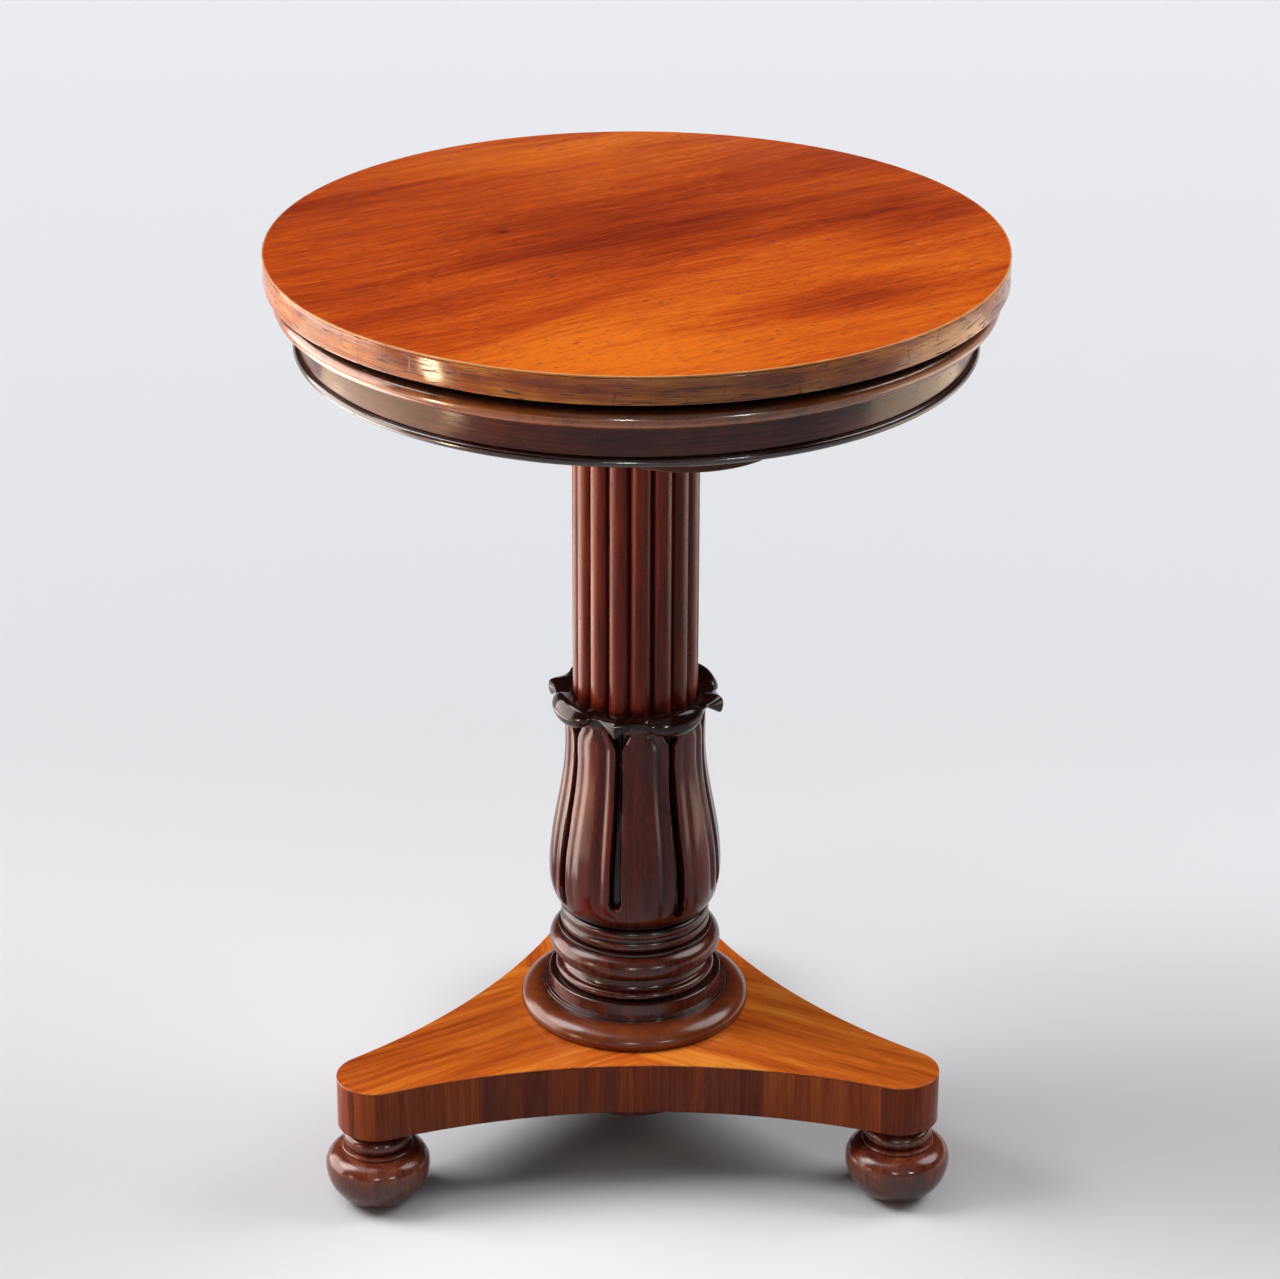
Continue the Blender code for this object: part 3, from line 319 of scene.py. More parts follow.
# The same wood bent round the edge: golden brown, grain lying level, with old upright cracks
edgeWood = mahogany("mahogany_edge_banding", {
    "turn": upright, "wanderSize": 60 * mm, "wander": 5 * mm,
    "layers": ((9, 120, 3, 0.8), (40, 40, 2, 0.5), (1.1, 30, 2, 0.6)),
    "colours": {0.2: "#782E0A", 0.42: "#A85014", 0.58: "#CC7424", 0.8: "#E8A048"},
    "pores": {"length": 1.2 * mm, "width": 15 * mm, "from": 0.61, "dark": 0.92, "colour": "#260E06"},
    "cracks": {
        "radius": 265 * mm, "every": 24 * mm, "width": 0.8 * mm, "bend": 0.35, "bendSize": 9 * mm,
        "some": {"size": 10 * mm, "detail": 2, "rough": 0.5, "from": 0.44, "to": 0.62, "most": 0.75},
    },
    "polish": {"size": 22 * mm, "gloss": 0.09, "dull": 0.2, "relief": 0.3, "shine": 0.5},
})
# Dark, glossy mouldings with the polish rubbed pale in places
mouldingWood = mahogany("mahogany_dark_moulding", {
    **mouldingGrain,
    "colours": {0.2: "#300E07", 0.42: "#4E1C0E", 0.58: "#6A2C17", 0.8: "#8C4526"},
    "wear": {
        "size": 13 * mm, "detail": 6, "rough": 0.7, "from": 0.6, "to": 0.72, "most": 0.5, "colour": "#96602F",
    },
    "polish": {"size": 25 * mm, "gloss": 0.13, "dull": 0.22, "relief": 0.1, "shine": 0.4},
})
# The tray's roll: the same dark wood, with painted shade along its top under the table top, and a golden nose that is
# partly rubbed wear and partly a painted highlight
rollWood = mahogany("mahogany_moulding_worn_lit_and_shaded", {
    **mouldingGrain,
    "colours": {0.2: "#1E0D08", 0.42: "#2E150C", 0.58: "#402012", 0.8: "#54301C"},
    # golden nose: partly wear, partly a painted highlight
    "wornAndLit": {"from": 252 * mm, "to": 257 * mm, "colour": "#C07038", "most": 0.9},
    # painted shade along the roll's top, under the table top's overhang
    "paintedShade": {"levels": ((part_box("tray_roll")[1].z, 5.5 * mm),), "most": 0.75, "colour": "#1A0A06"},
    "polish": {"size": 25 * mm, "gloss": 0.12, "dull": 0.22, "relief": 0.1, "shine": 0.8},
})
# The reeded pillar: red mahogany with upright grain under a thin polish
pillarWood = mahogany("mahogany_red_carved", {
    "turn": upright, "wanderSize": 90 * mm, "wander": 5 * mm,
    "layers": ((160, 14, 3, 0.7), (60, 4, 3, 0.5), (40, 1.1, 2, 0.5)),
    "colours": {0.2: "#40120B", 0.42: "#682114", 0.58: "#84301C", 0.8: "#A24428"},
    "pores": {"length": 7 * mm, "width": 0.6 * mm, "from": 0.69, "dark": 0.6, "colour": "#240B07"},
    "polish": {"size": 30 * mm, "gloss": 0.24, "dull": 0.38, "relief": 0.08, "shine": 0.25},
})
# The carved vase: darker and glossier than the reeds, nearly black with wax on its lip, with painted shade at its foot
# and in the bottom of the carving
lotusWood = mahogany("mahogany_waxed_and_shaded_carving", {
    "turn": upright, "wanderSize": 90 * mm, "wander": 5 * mm,
    "layers": ((160, 14, 3, 0.6), (60, 4, 3, 0.4), (40, 1.1, 2, 0.5)),
    "colours": {0.2: "#300C07", 0.42: "#52160C", 0.58: "#6C2214", 0.8: "#8A341E"},
    "pores": {"length": 7 * mm, "width": 0.6 * mm, "from": 0.69, "dark": 0.6, "colour": "#240B07"},
    "waxed": {"from": vaseFoot + 158 * mm, "to": vaseFoot + 168 * mm, "colour": "#1E0E09", "most": 0.94},
    # painted shade towards the vase's foot
    "paintedShade": {"levels": ((vaseFoot, 18 * mm),), "most": 0.7, "colour": "#160907"},
    # painted shade in the bottom of the slots
    "carved": {"colour": "#120705", "most": 0.9},
    "polish": {"size": 30 * mm, "gloss": 0.11, "dull": 0.2, "relief": 0.05, "shine": 0.3},
})
# Turned feet and nut: dark polish, browner where hands and brooms have worn it
turnedWood = mahogany("mahogany_dark_turned", {
    **turnedGrain,
    "colours": {0.2: "#451B10", 0.42: "#6A2E1E", 0.58: "#884128", 0.8: "#A55836"},
    "wear": {
        "size": 11 * mm, "detail": 6, "rough": 0.7, "from": 0.62, "to": 0.74, "most": 0.45, "colour": "#8E5A38",
    },
    "polish": {"size": 24 * mm, "gloss": 0.15, "dull": 0.28, "relief": 0.1, "shine": 0.5},
})
# The rings at the pillar's foot: redder, golden on the broad cushion below, and with painted shade in the quirks
# between the rings
ringQuirks = ((17.3, 1.4), (29.6, 2.2), (45.3, 3), (66.9, 2.5), (76.6, 1.5), (85.8, 3.5))  # mm up, mm of painted shade
baseWood = mahogany("mahogany_turned_worn_and_shaded", {
    **turnedGrain,
    "colours": {0.2: "#300F09", 0.42: "#4A1B10", 0.58: "#602717", 0.8: "#783620"},
    "wornAndLit": {"from": 68 * mm, "to": 82 * mm, "colour": "#A65622", "most": 0.36},
    # painted shade in the quirks between the rings
    "paintedShade": {
        "levels": [(platformTop + up * mm, reach * mm) for up, reach in ringQuirks], "most": 0.85, "colour": "#120705",
    },
    "polish": {"size": 24 * mm, "gloss": 0.15, "dull": 0.28, "relief": 0.1, "shine": 0.45},
})
# Platform veneer in three mitred leaves, so it has no one turn
platformWood = mahogany("mahogany_mitred_veneer", {
    "wanderSize": 120 * mm, "wander": 18 * mm,
    "layers": ((220, 22, 3, 0.75), (150, 5, 3, 0.5), (50, 1.3, 2, 0.4)),
    "zones": ((10, -112, 70, 34, 0, 0.06),),
    "colours": {0.2: "#8C3410", 0.4: "#BA541B", 0.56: "#DA6E22", 0.78: "#EE9839"},
    "pores": {"length": 8 * mm, "width": 0.7 * mm, "from": 0.68, "dark": 0.6, "colour": "#42150A"},
    "polish": {"size": 50 * mm, "gloss": 0.2, "dull": 0.32, "relief": 0.06, "shine": 0.3},
})
# Veneer on the platform's edge: upright grain, pieced from strips
crossWood = mahogany("mahogany_cross_grain_veneer", {
    "turn": upright, "wanderSize": 50 * mm, "wander": 3 * mm,
    "layers": ((150, 10, 3, 0.6), (90, 3.5, 3, 0.5), (60, 1.1, 2, 0.5)),
    "strips": {"size": 62 * mm, "tone": 0.32},
    "colours": {0.2: "#5A1F0E", 0.42: "#843514", 0.58: "#A4481B", 0.8: "#C26228"},
    "pores": {"length": 7 * mm, "width": 0.6 * mm, "from": 0.68, "dark": 0.7, "colour": "#241008"},
    "polish": {"size": 30 * mm, "gloss": 0.24, "dull": 0.4, "relief": 0.1, "shine": 0.2},
})
# Hidden wood: planed, never polished, dry and dusty
planedWood = mahogany("mahogany_planed", {
    "turn": (0, 0, 0), "wanderSize": 120 * mm, "wander": 12 * mm,
    "layers": ((240, 16, 3, 0.7), (120, 5, 3, 0.5), (40, 1.2, 2, 0.5)),
    "colours": {0.2: "#33190F", 0.42: "#48281A", 0.58: "#5A3523", 0.8: "#6B432E"},
    "pores": {"length": 7 * mm, "width": 0.6 * mm, "from": 0.66, "dark": 0.7, "colour": "#2C160C"},
    "wear": {
        "size": 60 * mm, "detail": 6, "rough": 0.7, "from": 0.55, "to": 0.67, "most": 0.5, "colour": "#3C2417",
    },
    "polish": {"size": 40 * mm, "gloss": 0.6, "dull": 0.8, "relief": 0.5, "shine": 0.3},
})


def oldMetal(name, look):
    # worn metal: dark in the hollows, brighter where it is handled, with fine turning lines
    material, tree, shader, coords = newMaterial(name)
    tarnish = addNode(tree, "ShaderNodeTexNoise", {
        "Vector": coords, "Scale": 1 / look["tarnishSize"], "Detail": 5.0, "Roughness": 0.65,
    })
    colour = addNode(tree, "ShaderNodeValToRGB", {"Fac": tarnish}, look["colours"])
    rough = addNode(tree, "ShaderNodeMapRange", {
        "Value": tarnish, "From Min": 0.3, "From Max": 0.7, "To Min": look["dull"], "To Max": look["gloss"],
    })
    lines = addNode(tree, "ShaderNodeTexNoise", {"Vector": coords, "Scale": 1 / look["lineSize"], "Detail": 3.0})
    bump = addNode(tree, "ShaderNodeBump", {"Height": lines, "Strength": 0.15, "Distance": 0.1 * mm})
    setInputs(tree, shader, {"Base Color": colour, "Roughness": rough, "Normal": bump, "Metallic": 1.0})
    return material


# Cast and turned brass gone brown, and black-brown forged steel
brass = oldMetal("brass_tarnished", {
    "colours": {0.38: "#7A5A28", 0.62: "#C09A4C"}, "tarnishSize": 9 * mm, "lineSize": 0.8 * mm,
    "dull": 0.5, "gloss": 0.26,
})
steel = oldMetal("steel_browned", {
    "colours": {0.38: "#3A332D", 0.62: "#6C655E"}, "tarnishSize": 4 * mm, "lineSize": 0.6 * mm,
    "dull": 0.6, "gloss": 0.36,
})


def buffLeather(look):
    # thick vegetable-tanned leather, pebbled and dark with age
    material, tree, shader, coords = newMaterial("leather_buff")
    pebble = addNode(tree, "ShaderNodeTexVoronoi", {"Vector": coords, "Scale": 1 / look["pebble"]})
    colour = addNode(tree, "ShaderNodeValToRGB", {"Fac": pebble}, look["colours"])
    bump = addNode(tree, "ShaderNodeBump", {"Height": pebble, "Strength": 0.4, "Distance": look["depth"]})
    setInputs(tree, shader, {"Base Color": colour, "Normal": bump, "Roughness": look["dull"]})
    return material


leather = buffLeather({
    "pebble": 1.4 * mm, "depth": 0.3 * mm, "colours": {0.1: "#8A5C36", 0.8: "#5A3820"}, "dull": 0.75,
})
print("materials made")


def finishMesh(mesh, material, angle=32):
    mesh.materials.clear()
    mesh.materials.append(material)
    mesh.shade_smooth()
    mesh.set_sharp_from_angle(angle=radians(angle))
    return mesh


def meshFrom(body, material, angle=32):
    # a finished mesh, faces outwards, from the geometry under way
    bmesh.ops.recalc_face_normals(body, faces=body.faces)
    bmesh.ops.triangulate(body, faces=[f for f in body.faces if len(f.verts) > 4])
    mesh = bpy.data.meshes.new("made")
    body.to_mesh(mesh)
    body.free()
    return finishMesh(mesh, material, angle)


def addPiece(name, mesh, body, slot, *stoodFor):
    mesh.name = name
    piece = bpy.data.objects.new(name, mesh)
    bpy.context.scene.collection.objects.link(piece)
    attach(piece, body)
    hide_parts(*stoodFor)


def span(node):
    # outer radius about the pillar, lowest and highest level of a CAD node
    low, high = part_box(node)
    return high.x, low.z, high.z


def arcPoints(centre, radii, start, end, count):
    turns = [radians(start + (end - start) * i / count) for i in range(count + 1)]
    return [(centre[0] + radii[0] * cos(a), centre[1] + radii[1] * sin(a)) for a in turns]


def halfRound(radius, low, height, count=12):
    return arcPoints((radius - height / 2, low + height / 2), (height / 2, height / 2), 84, -84, count)


def disc(radius, low, high):
    return [(0, high), (radius, high), (radius, low), (0, low)]


def roundedDisc(radius, low, high, bend, count):
    # a disc with its lower arris rounded
    return (
        [(0, high), (radius, high)]
        + arcPoints((radius - bend, low + bend), (bend, bend), 0, -90, count)
        + [(0, low)]
    )


def easeCorners(profile, ease, closed):
    # every sharp corner of a profile becomes a small round
    points = [Vector(p) for p in profile]
    count = len(points)
    eased = []
    for i, here in enumerate(points):
        if not closed and i in (0, count - 1):
            eased.append(tuple(here))
            continue
        before = points[i - 1] - here
        after = points[(i + 1) % count] - here
        if before.length < 1e-7 or after.length < 1e-7:
            continue
        bend = pi - before.angle(after)
        if bend < radians(24):
            eased.append(tuple(here))
            continue
        reach = min(ease * tan(bend / 2), 0.4 * before.length, 0.4 * after.length)
        start = here + before.normalized() * reach
        end = here + after.normalized() * reach
        for t in (0, 0.25, 0.5, 0.75, 1):
            eased.append(tuple(start * (1 - t) ** 2 + here * (2 * t * (1 - t)) + end * t ** 2))
    return eased


def turnedMesh(profile, material, steps=160, ring=False, ease=0.4 * mm):
    # a profile of (radius, height) turned about the upright axis
    turns = [(cos(2 * pi * i / steps), sin(2 * pi * i / steps)) for i in range(steps)]
    body = bmesh.new()
    rows = []
    for radius, height in easeCorners(profile, ease, ring):
        spots = [(0, 0)] if radius < 1e-6 else [(radius * x, radius * y) for x, y in turns]
        rows.append([body.verts.new((x, y, height)) for x, y in spots])
    for upper, lower in zip(rows, rows[1:] + rows[:1] if ring else rows[1:]):
        for i in range(steps):
            j = (i + 1) % steps
            if len(upper) == 1:
                body.faces.new((upper[0], lower[i], lower[j]))
            elif len(lower) == 1:
                body.faces.new((upper[i], lower[0], upper[j]))
            else:
                body.faces.new((upper[i], lower[i], lower[j], upper[j]))
    return meshFrom(body, material)


def boredRing(outer, bore, material, steps=160, ease=0.4 * mm):
    inner = [(bore, outer[-1][1]), (bore, outer[0][1])]
    return turnedMesh(outer + inner, material, steps, True, ease)


def slabMesh(outline, low, high, ease, material):
    # an outline that takes an inset, raised between two levels, with rounded arrises
    turns = [i * pi / 10 for i in range(6)]
    rounds = [(ease * (1 - sin(turn)), ease * (1 - cos(turn))) for turn in turns]
    rings = [(inset, high - drop) for inset, drop in rounds] + [(inset, low + drop) for inset, drop in rounds[::-1]]
    body = bmesh.new()
    loops = [[body.verts.new((x, y, height)) for x, y in outline(inset)] for inset, height in rings]
    count = len(loops[0])
    for upper, lower in zip(loops, loops[1:]):
        for i in range(count):
            j = (i + 1) % count
            body.faces.new((upper[i], lower[i], lower[j], upper[j]))
    body.faces.new(loops[0])
    body.faces.new(loops[-1][::-1])
    return meshFrom(body, material)


# The top: veneer, board and edge band
topSizes = {"ease": 1.1 * mm, "underEase": 1.2 * mm, "band": 4 * mm, "bandInset": 0.05 * mm, "steps": 288}
topRadius, veneerLow, topLevel = span("top_veneer")
_, topUnder, _ = span("top_board")
boardEdge = topRadius - topSizes["band"]
bandEdge = topRadius - topSizes["bandInset"]
addPiece(
    "topVeneer",
    turnedMesh(disc(topRadius, veneerLow, topLevel), topWood, topSizes["steps"], ease=topSizes["ease"]),
    "top", "polished_mahogany", "top_veneer",
)
addPiece(
    "topEdgeBand",
    boredRing([(bandEdge, veneerLow), (bandEdge, topUnder)], boardEdge, edgeWood, topSizes["steps"],
              topSizes["underEase"]),
    "top", "polished_mahogany", "top_edge_band",
)
addPiece(
    "topBoard", turnedMesh(disc(boardEdge, topUnder, veneerLow), planedWood, topSizes["steps"]),
    "top", "bare_mahogany", "top_board",
)
print("top made")

# The tray: roll, frieze and bead round a board, and the brass bush in its middle
traySizes = {"rollNose": 9 * mm, "wall": 16 * mm, "cove": 5 * mm, "steps": 288}
bushSizes = {"bore": 20.3 * mm, "wall": 5.7 * mm, "flange": 3 * mm, "holeFrom": 15 * mm, "holeTo": 35 * mm}
rollRadius, rollLow, trayLip = span("tray_roll")
coveRadius, friezeLow, friezeTop = span("tray_frieze")
beadRadius, beadLow, beadTop = span("tray_bead")
_, boardLow, trayFloor = span("tray_board")
nose, cove = traySizes["rollNose"], traySizes["cove"]
friezeRadius = coveRadius - cove
trayBore = friezeRadius - traySizes["wall"]
bushRadius = bushSizes["bore"] + bushSizes["wall"]
rollHalf = (trayLip - rollLow) / 2
rollProfile = arcPoints((rollRadius - nose, trayLip - rollHalf), (nose, rollHalf), 90, -90, 22)
friezeProfile = arcPoints((coveRadius, friezeTop - cove), (-cove, cove), 90, 0, 10) + [(friezeRadius, friezeLow)]
beadProfile = halfRound(beadRadius, beadLow, beadTop - beadLow, 14)
boardProfile = [(trayBore, trayFloor), (trayBore, boardLow)]
for name, profile, bore, material, slot, node in (
    ("trayRoll", rollProfile, trayBore, rollWood, "dark_mahogany", "tray_roll"),
    ("trayFrieze", friezeProfile, trayBore, mouldingWood, "dark_mahogany", "tray_frieze"),
    ("trayBead", beadProfile, trayBore, rollWood, "dark_mahogany", "tray_bead"),
    ("trayBoard", boardProfile, bushRadius, topWood, "polished_mahogany", "tray_board"),
):
    addPiece(name, boredRing(profile, bore, material, traySizes["steps"]), "pedestal", slot, node)
print("tray made")

# Bearer under the tray, with round ends
bearerSizes = {
    "azimuth": radians(-78), "width": 100 * mm, "endRadius": 70 * mm, "ease": 2.5 * mm, "reach": 215 * mm,
    "endSteps": 12,
}


def bearerOutline(inset):
    size = bearerSizes
    bend = size["endRadius"] - inset
    swing = asin((size["width"] / 2 - inset) / bend)
    points = []
    for turn in (size["azimuth"], size["azimuth"] + pi):
        for i in range(2 * size["endSteps"] + 1):
            angle = swing * (i / size["endSteps"] - 1)
            x = size["reach"] - inset - bend * (1 - cos(angle))
            y = bend * sin(angle)
            points.append((x * cos(turn) - y * sin(turn), x * sin(turn) + y * cos(turn)))
    return points


_, bearerLow, bearerTop = span("tray_bearer")
addPiece(
    "trayBearer", slabMesh(bearerOutline, bearerLow, bearerTop, bearerSizes["ease"], planedWood),
    "pedestal", "bare_mahogany", "tray_bearer",
)

# Capital: plain turned, hidden in the tray's shade
capitalSizes = {"abacus": 8 * mm, "cove": 6 * mm, "astragal": 7 * mm, "setback": 3 * mm, "bore": 35.3 * mm}
abacusRadius, capitalLow, capitalTop = span("column_capital")
cove = capitalSizes["cove"]
bellRadius = abacusRadius - cove
abacusLow = capitalTop - capitalSizes["abacus"]
capitalProfile = (
    [(abacusRadius, capitalTop), (abacusRadius, abacusLow)]
    + arcPoints((abacusRadius, abacusLow - cove), (-cove, cove), 90, 0, 8)
    + [(bellRadius, capitalLow + capitalSizes["astragal"])]
    + halfRound(bellRadius - capitalSizes["setback"], capitalLow, capitalSizes["astragal"])
)
addPiece(
    "columnCapital", boredRing(capitalProfile, capitalSizes["bore"], pillarWood),
    "pedestal", "red_mahogany", "column_capital",
)
print("bearer and capital made")


def startTree(name, inputs):
    # an empty Geometry Nodes tree, and the sockets of its named inputs
    tree = bpy.data.node_groups.new(name, "GeometryNodeTree")
    tree.interface.new_socket("Geometry", in_out="OUTPUT", socket_type="NodeSocketGeometry")
    for key, kind in inputs.items():
        tree.interface.new_socket(key, in_out="INPUT", socket_type=kind)
    return tree, tree.nodes.new("NodeGroupInput").outputs


def endTree(tree, geometry, material):
    plain = addNode(tree, "GeometryNodeRealizeInstances", {"Geometry": geometry})
    painted = addNode(tree, "GeometryNodeSetMaterial", {"Geometry": plain, "Material": material})
    addNode(tree, "NodeGroupOutput", {"Geometry": painted})
    return tree


def nodesMesh(tree, values):
    # runs a tree on an empty mesh and keeps the result as a plain mesh
    holder = bpy.data.objects.new("holder", bpy.data.meshes.new("holder"))
    bpy.context.scene.collection.objects.link(holder)
    modifier = holder.modifiers.new("shape", "NODES")
    modifier.node_group = tree
    sockets = {item.name: item.identifier for item in tree.interface.items_tree if item.in_out == "INPUT"}
    for key, value in values.items():
        modifier[sockets[key]] = value
    bpy.context.view_layer.update()
    result = holder.evaluated_get(bpy.context.evaluated_depsgraph_get())
    mesh = bpy.data.meshes.new_from_object(result)
    holder.modifiers.remove(modifier)
    bpy.data.objects.remove(holder, do_unlink=True)
    return mesh


# Reeds: one outline of half-rounds, drawn out along the pillar
reedSizes = {"count": 16, "radius": 46.8 * mm, "depth": 7.5 * mm, "gapAzimuth": radians(-97.5), "facets": 18}


def reedTree(material):
    tree, value = startTree("reeded_shaft", {
        "Reed Count": "NodeSocketInt", "Facets": "NodeSocketInt", "Shaft Radius": "NodeSocketFloat",
        "Reed Depth": "NodeSocketFloat", "Gap Azimuth": "NodeSocketFloat", "Bottom": "NodeSocketFloat",
        "Top": "NodeSocketFloat",
    })
    around = addNode(tree, "ShaderNodeMath", {0: value["Reed Count"], 1: value["Facets"]}, operation="MULTIPLY")
    circle = addNode(tree, "GeometryNodeCurvePrimitiveCircle", {"Resolution": around, "Radius": 1.0})
    index = addNode(tree, "GeometryNodeInputIndex")
    # where a point lies across its reed, from -1 in one gap to 1 in the next
    share = addNode(tree, "ShaderNodeMath", {0: index, 1: value["Facets"]}, operation="DIVIDE")
    part = addNode(tree, "ShaderNodeMath", {0: share}, operation="FRACT")
    across = addNode(tree, "ShaderNodeMath", {0: part, 1: 2.0, 2: -1.0}, operation="MULTIPLY_ADD")
    # the half-round, as a cut below the shaft's radius
    square = addNode(tree, "ShaderNodeMath", {0: across, 1: across}, operation="MULTIPLY")
    rest = addNode(tree, "ShaderNodeMath", {0: 1.0, 1: square}, operation="SUBTRACT", use_clamp=True)
    swell = addNode(tree, "ShaderNodeMath", {0: rest}, operation="SQRT")
    hollow = addNode(tree, "ShaderNodeMath", {0: 1.0, 1: swell}, operation="SUBTRACT")
    cut = addNode(tree, "ShaderNodeMath", {0: hollow, 1: value["Reed Depth"]}, operation="MULTIPLY")
    radius = addNode(tree, "ShaderNodeMath", {0: value["Shaft Radius"], 1: cut}, operation="SUBTRACT")
    step = addNode(tree, "ShaderNodeMath", {0: 2 * pi, 1: around}, operation="DIVIDE")
    angle = addNode(tree, "ShaderNodeMath", {0: index, 1: step, 2: value["Gap Azimuth"]}, operation="MULTIPLY_ADD")
    cosine = addNode(tree, "ShaderNodeMath", {0: angle}, operation="COSINE")
    sine = addNode(tree, "ShaderNodeMath", {0: angle}, operation="SINE")
    x = addNode(tree, "ShaderNodeMath", {0: cosine, 1: radius}, operation="MULTIPLY")
    y = addNode(tree, "ShaderNodeMath", {0: sine, 1: radius}, operation="MULTIPLY")
    spot = addNode(tree, "ShaderNodeCombineXYZ", {"X": x, "Y": y})
    outline = addNode(tree, "GeometryNodeSetPosition", {"Geometry": circle, "Position": spot})
    start = addNode(tree, "ShaderNodeCombineXYZ", {"Z": value["Bottom"]})
    end = addNode(tree, "ShaderNodeCombineXYZ", {"Z": value["Top"]})
    path = addNode(tree, "GeometryNodeCurvePrimitiveLine", {"Start": start, "End": end})
    solid = addNode(
        tree, "GeometryNodeCurveToMesh", {"Curve": path, "Profile Curve": outline, "Fill Caps": True}
    )
    return endTree(tree, solid, material)


lotusSizes = {
    "height": 176 * mm, "footRadius": 51 * mm, "bellyRadius": 65.2 * mm, "bellyHeight": 31 * mm,
    "neckRadius": 52.7 * mm, "neckDrop": 38 * mm, "leaves": 8, "slotAzimuth": radians(-105),
    # slots with round feet, splayed under the lip, with a rib in the upper part
    "slotFoot": 21.5 * mm, "lobeSlotFoot": 11.5 * mm, "slotLow": 4.8 * mm, "slotHigh": 2.1 * mm,
    "slotDepth": 7.2 * mm, "slotWall": 2 * mm, "slotRound": 1.6, "shallow": 0.45, "flare": 6.5 * mm,
    "flareFrom": 142 * mm, "flareTo": 163 * mm, "midrib": 2.4 * mm, "ribWide": 1.2 * mm,
    "ribFrom": 70 * mm, "ribTo": 130 * mm,
    # leaves: crowned, and hollowed beside the slots, more on one side than on the other
    "crown": 1.2 * mm, "hollow": 2.4 * mm, "hollowAt": 8.5 * mm, "hollowWide": 3.2 * mm, "lesserHollow": 0.3,
    "leafFrom": 6 * mm, "leafTo": 34 * mm, "fadeFrom": 160 * mm, "fadeTo": 168 * mm,
    # lip: pointed pleats and rolled lobes by turns, over a mouth that takes the reeds
    "mouth": 47.4 * mm, "mouthEase": 0.6 * mm, "seat": 9 * mm, "lipRadius": 59.5 * mm, "lipEdge": 2.5 * mm,
    "lipFoot": 10 * mm, "lipFlare": 2 * mm, "lipGap": 3.4 * mm, "lipRoll": 4 * mm, "lobeRoll": 1.3,
    "lobeReach": 6 * mm, "lobeDroop": 12 * mm, "lobeRise": 4.6 * mm, "lobeSpread": 0.54,
    "pleatReach": 7.5 * mm, "pleatDroop": 9.5 * mm, "pleatRise": 2.6 * mm, "pleatSpread": 0.3, "pleatPoint": 1.15,
    "lipCurl": ((0.3, 0.17), (0, 0.55), (0.3, 0.9), (0.75, 1), (1.1, 0.86)),  # shares of the roll and of the fall
    "columns": 60, "crowding": 0.09, "bodyRows": 128, "lipRows": 5, "sharpAngle": 50,
}
lotusLip = vaseFoot + lotusSizes["height"]
addPiece(
    "reededShaft",
    finishMesh(nodesMesh(reedTree(pillarWood), {
        "Reed Count": reedSizes["count"], "Facets": reedSizes["facets"], "Shaft Radius": reedSizes["radius"],
        "Reed Depth": reedSizes["depth"], "Gap Azimuth": reedSizes["gapAzimuth"],
        "Bottom": lotusLip - lotusSizes["seat"], "Top": capitalLow,
    }), pillarWood),
    "pedestal", "red_mahogany", "reeded_shaft",
)
print("reeds made")


def smoothStep(low, high, value):
    t = np.clip((value - low) / (high - low), 0, 1)
    return t * t * (3 - 2 * t)


def vaseRadius(height):
    size = lotusSizes
    below = np.clip((size["bellyHeight"] - height) / size["bellyHeight"], 0, 1)
    lower = size["footRadius"] + (size["bellyRadius"] - size["footRadius"]) * np.sqrt(1 - below ** 2)
    room = size["height"] - size["bellyHeight"] - size["neckDrop"]
    above = np.clip((height - size["bellyHeight"]) / room, 0, 1)
    upper = size["neckRadius"] + (size["bellyRadius"] - size["neckRadius"]) * (1 + np.cos(pi * above)) / 2
    return np.where(height < size["bellyHeight"], lower, upper)


def lipRows(fromPleat, lastHeight):
    # rows of (radii, levels) down over the lip, as far as the first row of the leaves
    size = lotusSizes
    pleat = np.clip(1 - fromPleat / size["pleatSpread"], 0, 1) ** size["pleatPoint"]
    lobe = np.clip(1 - ((1 - fromPleat) / size["lobeSpread"]) ** 2, 0, 1) ** 0.5
    reach = size["lipRadius"] + size["pleatReach"] * pleat + size["lobeReach"] * lobe
    droop = size["lipEdge"] + size["pleatDroop"] * pleat + size["lobeDroop"] * lobe
    rise = size["lobeRise"] * lobe + size["pleatRise"] * pleat
    roll = size["lipRoll"] * (1 + size["lobeRoll"] * lobe)
    crest = lotusLip + rise
    wide = reach - size["mouth"]
    whole = np.ones_like(fromPleat)
    knots = np.array([
        (size["mouth"] * whole, (lotusLip - size["seat"]) * whole),
        (size["mouth"] * whole, (lotusLip - size["mouthEase"]) * whole),
        (size["mouth"] + 0.3 * wide, lotusLip + 0.65 * rise - 0.2 * mm),
        (size["mouth"] + 0.64 * wide, crest),
        *[(reach - back * roll, crest - down * (rise + droop)) for back, down in size["lipCurl"]],
        ((size["neckRadius"] + size["lipFlare"]) * whole, lotusLip - size["lipFoot"] * (0.8 + 0.4 * lobe)),
        (vaseRadius(lastHeight) * whole, (vaseFoot + lastHeight) * whole),
    ])
    rows = []
    for i in range(len(knots) - 1):
        # straight down the mouth, then Catmull-Rom from one knot to the next
        ends = [max(i - 1, 0), i, i + 1, min(i + 2, len(knots) - 1)]
        for t in np.arange(size["lipRows"]) / size["lipRows"]:
            weights = (0, 1 - t, t, 0) if i == 0 else (
                -t / 2 + t * t - t ** 3 / 2, 1 - 2.5 * t * t + 1.5 * t ** 3,
                t / 2 + 2 * t * t - 1.5 * t ** 3, -t * t / 2 + t ** 3 / 2,
            )
            rows.append(sum(weight * knots[end] for weight, end in zip(weights, ends)))
    return rows


